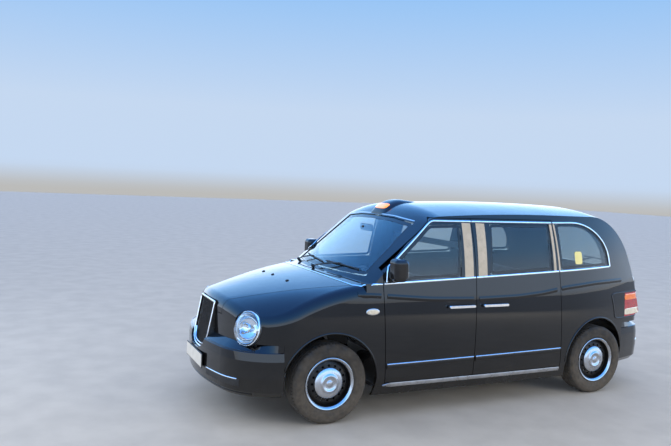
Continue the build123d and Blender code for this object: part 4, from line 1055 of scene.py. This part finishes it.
makeWiper("rightWiper", screenSkin, backward, "body_shell", Vector((2.0, -0.600, 1.205)),
          Vector((2.0, -0.560, 1.275)), Vector((2.0, 0.020, 1.262)), 0.006)
makeWiper("leftWiper", screenSkin, backward, "body_shell", Vector((2.0, -0.010, 1.205)),
          Vector((2.0, 0.060, 1.275)), Vector((2.0, 0.600, 1.262)), 0.006)
makeWiper("rearWiper", rearScreenSkin, forward, "tailgate_lid", Vector((-3.0, 0.0, 1.255)),
          Vector((-3.0, 0.020, 1.300)), Vector((-3.0, 0.330, 1.290)), 0.004)
bonnetSkin = skinOf("bonnet")
form = bmesh.new()
for x, y in ((1.690, -0.335), (1.700, -0.051), (1.690, 0.298)):
    domeOn(form, Vector((x, y, 2.0)), forward, leftward, 0.016, 0.012, bonnetSkin, downward,
           ((1.0, -0.001), (0.95, 0.006), (0.6, 0.009), (0.2, 0.010)), 1.0, 24)
addPiece("washerJets", form, trimPlastic, "bonnet_lid", "black_plastic")
print("wipers and washer jets fitted")

# tail: lamp bezels and zones, plate, handle and reflectors
gateSkin = skinOf("tailgate")
tailSkin = skinOf("tail_lamps", "left_side_frame")
lampEdges = {"inner": 0.646, "outer": 0.846, "low": 0.742, "high": 1.010}
form = bmesh.new()
corners = [(lampEdges["inner"], lampEdges["low"]), (lampEdges["outer"], lampEdges["low"]),
           (lampEdges["outer"], lampEdges["high"]), (lampEdges["inner"], lampEdges["high"])]
loop = [Vector((-3.0, y, z)) for y, z in drawnIn(corners, -0.002)]
spots, leans = laid(tailSkin, easedLoop(loop, 0.010, 4), forward)
sweep(form, spots, leans, domed(0.008, 0.006, 0.002), True)
addPair("tailLampBezel", form, trimPlastic, "body_shell", "black_plastic")
# the zones are cast square to the lamp's chord, because the lamp wraps round the corner
lampLow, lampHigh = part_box("tail_lamps")
chordStart = Vector((lampLow.x, lampEdges["inner"], 0))
chord = Vector((lampHigh.x, lampEdges["outer"], 0)) - chordStart
chordAcross = chord.normalized()
for name, z, material, slot in (
        ("tailLampTurn", 0.955, orangeMarker, "orange_sign"),
        ("tailLampReverse", 0.800, paleLamp, "clear_glass")):
    form = bmesh.new()
    domeOn(form, chordStart + chord / 2 + upward * z, chordAcross, upward, chord.length / 2 - 0.012, 0.032,
           skinOf("tail_lamps"), chordAcross.cross(upward), ((1.0, -0.0005), (1.0, 0.002), (0.9, 0.0035)),
           0.4, 40)
    addPair(name, form, material, "body_shell", slot)
spot = laid(gateSkin, [Vector((-3.0, 0, plate["rearZ"]))], forward)[0][0]
addPlate("rear", spot, backward, plate["rearZ"], 0.131, yellowPlate, "tailgate_lid")
layTrim("tailgateBar", [Vector((-3.0, 0.310, 0.905)), Vector((-3.0, -0.310, 0.905))], gateSkin, forward,
        domed(0.016, 0.014), chrome, "tailgate_lid", "chassis_steel", 0.02, 0, False)
rearBarSkin = skinOf("rear_bumper")
layTrim("rearBumperStrip", [Vector((-3.0, bar["inner"], 0.470)), Vector((-3.0, bar["outer"], 0.470))],
        rearBarSkin, forward, domed(bar["half"], bar["height"]), chrome, "body_shell", "chassis_steel")
form = bmesh.new()
domeOn(form, Vector((-3.0, 0.560, 0.415)), leftward, upward, 0.060, 0.016, rearBarSkin, forward,
       ((1.0, -0.001), (1.0, 0.003), (0.94, 0.0045)), 0.4, 40)
addPair("rearReflector", form, redLens, "body_shell", "red_lens")
print("tail dressed")

# rows and rings of small repeated shapes
def copyTree(name, layout, shape):
    tree = bpy.data.node_groups.new(name, "GeometryNodeTree")
    ask = tree.interface
    ask.new_socket("Geometry", in_out="OUTPUT", socket_type="NodeSocketGeometry")
    inputs = {key: ask.new_socket(key, in_out="INPUT", socket_type=kind).identifier for key, kind in (
        ("Count", "NodeSocketInt"), ("Step", "NodeSocketFloat"), ("Size", "NodeSocketVector"),
        ("Finish", "NodeSocketMaterial"))}
    given = tree.nodes.new("NodeGroupInput")
    result = tree.nodes.new("NodeGroupOutput")
    copies = tree.nodes.new("GeometryNodeInstanceOnPoints")
    if layout == "row":
        points = tree.nodes.new("GeometryNodeMeshLine")
        offset = tree.nodes.new("ShaderNodeCombineXYZ")
        tree.links.new(given.outputs["Step"], offset.inputs["Y"])
        tree.links.new(offset.outputs["Vector"], points.inputs["Offset"])
        tree.links.new(given.outputs["Count"], points.inputs["Count"])
    else:
        points = tree.nodes.new("GeometryNodeMeshCircle")
        tree.links.new(given.outputs["Count"], points.inputs["Vertices"])
        tree.links.new(given.outputs["Step"], points.inputs["Radius"])
    tree.links.new(points.outputs["Mesh"], copies.inputs["Points"])
    if shape == "bar":
        solid = tree.nodes.new("GeometryNodeMeshCube")
        tree.links.new(given.outputs["Size"], solid.inputs["Size"])
        tree.links.new(solid.outputs["Mesh"], copies.inputs["Instance"])
    else:
        solid = tree.nodes.new("GeometryNodeMeshUVSphere")
        solid.inputs["Segments"].default_value = 12
        solid.inputs["Rings"].default_value = 8
        solid.inputs["Radius"].default_value = 1.0
        tree.links.new(solid.outputs["Mesh"], copies.inputs["Instance"])
        tree.links.new(given.outputs["Size"], copies.inputs["Scale"])
    real = tree.nodes.new("GeometryNodeRealizeInstances")
    finish = tree.nodes.new("GeometryNodeSetMaterial")
    tree.links.new(copies.outputs["Instances"], real.inputs["Geometry"])
    tree.links.new(real.outputs["Geometry"], finish.inputs["Geometry"])
    tree.links.new(given.outputs["Finish"], finish.inputs["Material"])
    tree.links.new(finish.outputs["Geometry"], result.inputs["Geometry"])
    return tree, inputs


def applied(piece):
    graph = bpy.context.evaluated_depsgraph_get()
    old, mesh = piece.data, bpy.data.meshes.new_from_object(piece.evaluated_get(graph))
    piece.modifiers.clear()
    piece.data = mesh
    bpy.data.meshes.remove(old)
    return piece


def addCopies(name, kit, count, step, size, material, place, body):
    tree, inputs = kit
    piece = bpy.data.objects.new(name, bpy.data.meshes.new(name))
    scene.collection.objects.link(piece)
    copies = piece.modifiers.new("copies", "NODES")
    copies.node_group = tree
    for key, value in (("Count", count), ("Step", step), ("Size", size), ("Finish", material)):
        copies[inputs[key]] = value
    applied(piece).data.transform(place)
    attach(piece, body)


barRow = copyTree("rowOfBars", "row", "bar")
domeRing = copyTree("ringOfDomes", "ring", "dome")
coreLow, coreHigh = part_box("radiator")
fins = {"pitch": 0.008, "thick": 0.0012, "proud": 0.004, "margin": 0.022}
finCount = int((coreHigh.y - coreLow.y - 2 * fins["margin"]) / fins["pitch"])
finSize = (fins["proud"], fins["thick"], coreHigh.z - coreLow.z - 2 * fins["margin"])
finStart = (coreHigh.x + fins["proud"] / 2, -(finCount - 1) * fins["pitch"] / 2, (coreLow.z + coreHigh.z) / 2)
addCopies("radiatorFins", barRow, finCount, fins["pitch"], finSize, coreGrey, Matrix.Translation(finStart),
          "body_shell")
wallBack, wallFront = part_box("partition")[0].x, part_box("partition")[1].x
hole = {"half": 0.0035, "rise": 0.0012, "y": -0.300, "z": 1.010}
for radius, count in ((0.0005, 3), (0.014, 8), (0.028, 16), (0.042, 24)):
    for side, x in (("Rear", wallBack), ("Front", wallFront)):
        facing = Matrix.Translation((x, hole["y"], hole["z"])) @ Matrix.Rotation(radians(90), 4, "Y")
        addCopies(f"speechHoles{side}{count}", domeRing, count, radius,
                  (hole["half"], hole["half"], hole["rise"]), cabinPlastic, facing, "body_shell")
print("fins and speech holes placed")

# cabin: padded seats, their bases, mirror and dashboard fittings
padding = {"voxel": 0.012, "pressure": 4.0, "last": 20, "cap": 0.024, "start": 0.016, "seam": 0.009,
           "spread": 0.009}


def makePad(name, middle, across, along, size, seams, replaced=()):
    # size is across, along and thick; a seam is (axis of the pad, place along it)
    form = bmesh.new()
    bmesh.ops.create_cube(form, size=1.0)
    for point in form.verts:
        point.co = Vector([part * (reach - 2 * padding["start"]) for part, reach in zip(point.co, size)])
    bmesh.ops.bevel(form, geom=form.edges[:], offset=size[2] * 0.24, segments=4, profile=0.5, affect="EDGES")
    mesh = bpy.data.meshes.new(name)
    form.to_mesh(mesh)
    form.free()
    piece = bpy.data.objects.new(name, mesh)
    scene.collection.objects.link(piece)
    skinning = piece.modifiers.new("evenSkin", "REMESH")
    skinning.mode = "VOXEL"
    skinning.voxel_size = padding["voxel"]
    applied(piece)
    starts = [point.co.copy() for point in piece.data.vertices]
    stuffing = piece.modifiers.new("stuffing", "CLOTH")
    stuffing.settings.use_pressure = True
    stuffing.settings.uniform_pressure_force = padding["pressure"]
    stuffing.settings.effector_weights.gravity = 0.0
    for moment in range(1, padding["last"] + 1):
        scene.frame_set(moment)
    applied(piece)
    for point, start in zip(piece.data.vertices, starts):
        move = point.co - start
        if move.length > padding["cap"]:
            point.co = start + move * (padding["cap"] / move.length)
    scene.frame_set(1)
    finer = piece.modifiers.new("finer", "SUBSURF")
    finer.levels = finer.render_levels = 1
    applied(piece)
    for point in piece.data.vertices:
        if point.co.z > 0:
            falls = [exp(-((point.co[axis] - at) / padding["spread"]) ** 2) for axis, at in seams]
            point.co.z -= padding["seam"] * max(falls, default=0.0)
    out = across.cross(along).normalized()
    turn = Matrix((across, along, out)).transposed().to_4x4()
    piece.data.transform(Matrix.Translation(middle) @ turn)
    piece.data.polygons.foreach_set("use_smooth", [True] * len(piece.data.polygons))
    piece.data.materials.clear()
    piece.data.materials.append(seatCloth)
    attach(piece, "body_shell")
    if replaced:
        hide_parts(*replaced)


seatLow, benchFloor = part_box("driver_seat")[0].z, 0.345
driverY, benchX, jumpZ = -0.385, -0.985, 0.645
rightward = Vector((0, -1, 0))
driverLean, benchLean = Vector((-0.138, 0, 0.990)), Vector((-0.120, 0, 0.993))
makePad("driverCushion", Vector((0.415, driverY, 0.535)), leftward, backward, (0.462, 0.442, 0.128),
        ((0, -0.150), (0, 0.150), (1, -0.060), (1, 0.090)), ("driver_seat",))
makePad("driverBack", Vector((0.193, driverY, 0.860)), leftward, driverLean, (0.452, 0.575, 0.112),
        ((0, -0.145), (0, 0.145), (1, 0.120), (1, -0.100)))
makePad("driverHeadrest", Vector((0.150, driverY, 1.225)), leftward, upward, (0.225, 0.165, 0.088),
        ((1, 0.0),), ())
makePad("benchCushion", Vector((benchX, 0, 0.575)), leftward, backward, (1.172, 0.442, 0.128),
        ((0, -0.197), (0, 0.197), (1, -0.010)), ("rear_seat",))
makePad("benchBack", Vector((-1.203, 0, 0.900)), leftward, benchLean, (1.172, 0.590, 0.110),
        ((0, -0.197), (0, 0.197), (1, 0.150), (1, -0.060)))
for side, y in (("left", 0.325), ("right", -0.325)):
    makePad(side + "JumpCushion", Vector((-0.068, y, jumpZ)), rightward, upward, (0.380, 0.420, 0.078),
            ((0, 0.0), (1, 0.060)), ("jump_seats",) if side == "left" else ())
    form = bmesh.new()
    roundedPlate(form, Vector((-0.0105, y, jumpZ)), rightward, upward, 0.388, 0.428, 0.026, 0.040)
    addPiece(side + "JumpShell", form, cabinPlastic, "body_shell", "partition_panel")
print("seats stuffed")

form = bmesh.new()
roundedPlate(form, Vector((0.415, driverY, seatLow)), leftward, backward, 0.370, 0.330, 0.480 - seatLow, 0.050)
for y in (driverY - 0.060, driverY + 0.060):
    addTurned(form, [(0.0, 0.0), (0.007, 0.0), (0.007, 0.080), (0.0, 0.080)],
              Matrix.Translation((0.150, y, 1.105)) @ Matrix.Rotation(radians(90), 4, "X"), 16, False)
addPiece("driverSeatBase", form, cabinPlastic, "body_shell", "black_plastic")
form = bmesh.new()
roundedPlate(form, Vector((benchX, 0, benchFloor)), leftward, backward, 1.080, 0.330, 0.175, 0.050)
addPiece("benchBase", form, panelGrey, "body_shell", "partition_panel")
mirrorZ = 1.600
glassSpot = laid(screenSkin, [Vector((2.0, 0, mirrorZ))], backward)[0][0]
mirrorFace = Vector((glassSpot.x - 0.060, 0, mirrorZ))
form = bmesh.new()
roundedPlate(form, mirrorFace, leftward, upward, 0.250, 0.068, 0.016, 0.028, 8)
stem = [Vector((glassSpot.x - 0.002 - 0.05 * step / 6, 0, 1.612 - 0.008 * step / 6)) for step in range(7)]
sweep(form, stem, [upward] * 7, domed(0.009, 0.009, 0.009))
addPiece("cabinMirror", form, trimPlastic, "body_shell", "black_plastic")
form = bmesh.new()
roundedPlate(form, mirrorFace, rightward, upward, 0.238, 0.056, 0.002, 0.024, 8)
addPiece("cabinMirrorGlass", form, mirrorSilver, "body_shell", "clear_glass")
dashSkin = skinOf("dashboard")
hoodSteps = range(-10, 11)
hood = [Vector((0.835, driverY + 0.190 * step / 10, 2.0)) for step in hoodSteps]
spots, leans = laid(dashSkin, hood, downward)
arched = [spot + upward * (0.030 * (1 - (step / 10) ** 4)) for step, spot in zip(hoodSteps, spots)]
form = bmesh.new()
sweep(form, arched, leans, domed(0.060, 0.012, 0.040))
addPiece("instrumentHood", form, cabinPlastic, "body_shell", "black_plastic")
vent = {"z": 1.040, "bars": 9, "pitch": 0.013, "size": (0.004, 0.0025, 0.062)}
for index, y in enumerate((0.560, 0.110, -0.110, -0.640)):
    face = laid(dashSkin, [Vector((0.0, y, vent["z"]))], forward)[0][0]
    addCopies(f"dashVent{index}", barRow, vent["bars"], vent["pitch"], vent["size"], trimPlastic,
              Matrix.Translation((face.x - 0.001, y - 0.052, vent["z"])), "body_shell")
panelZ = 0.930
face = laid(dashSkin, [Vector((0.0, 0.0, panelZ))], forward)[0][0]
form = bmesh.new()
roundedPlate(form, Vector((face.x - 0.0005, 0, panelZ)), rightward, upward, 0.180, 0.100, 0.004, 0.008)
addPiece("dashPanel", form, glossPlastic, "body_shell", "black_plastic")
print("cabin fitted")
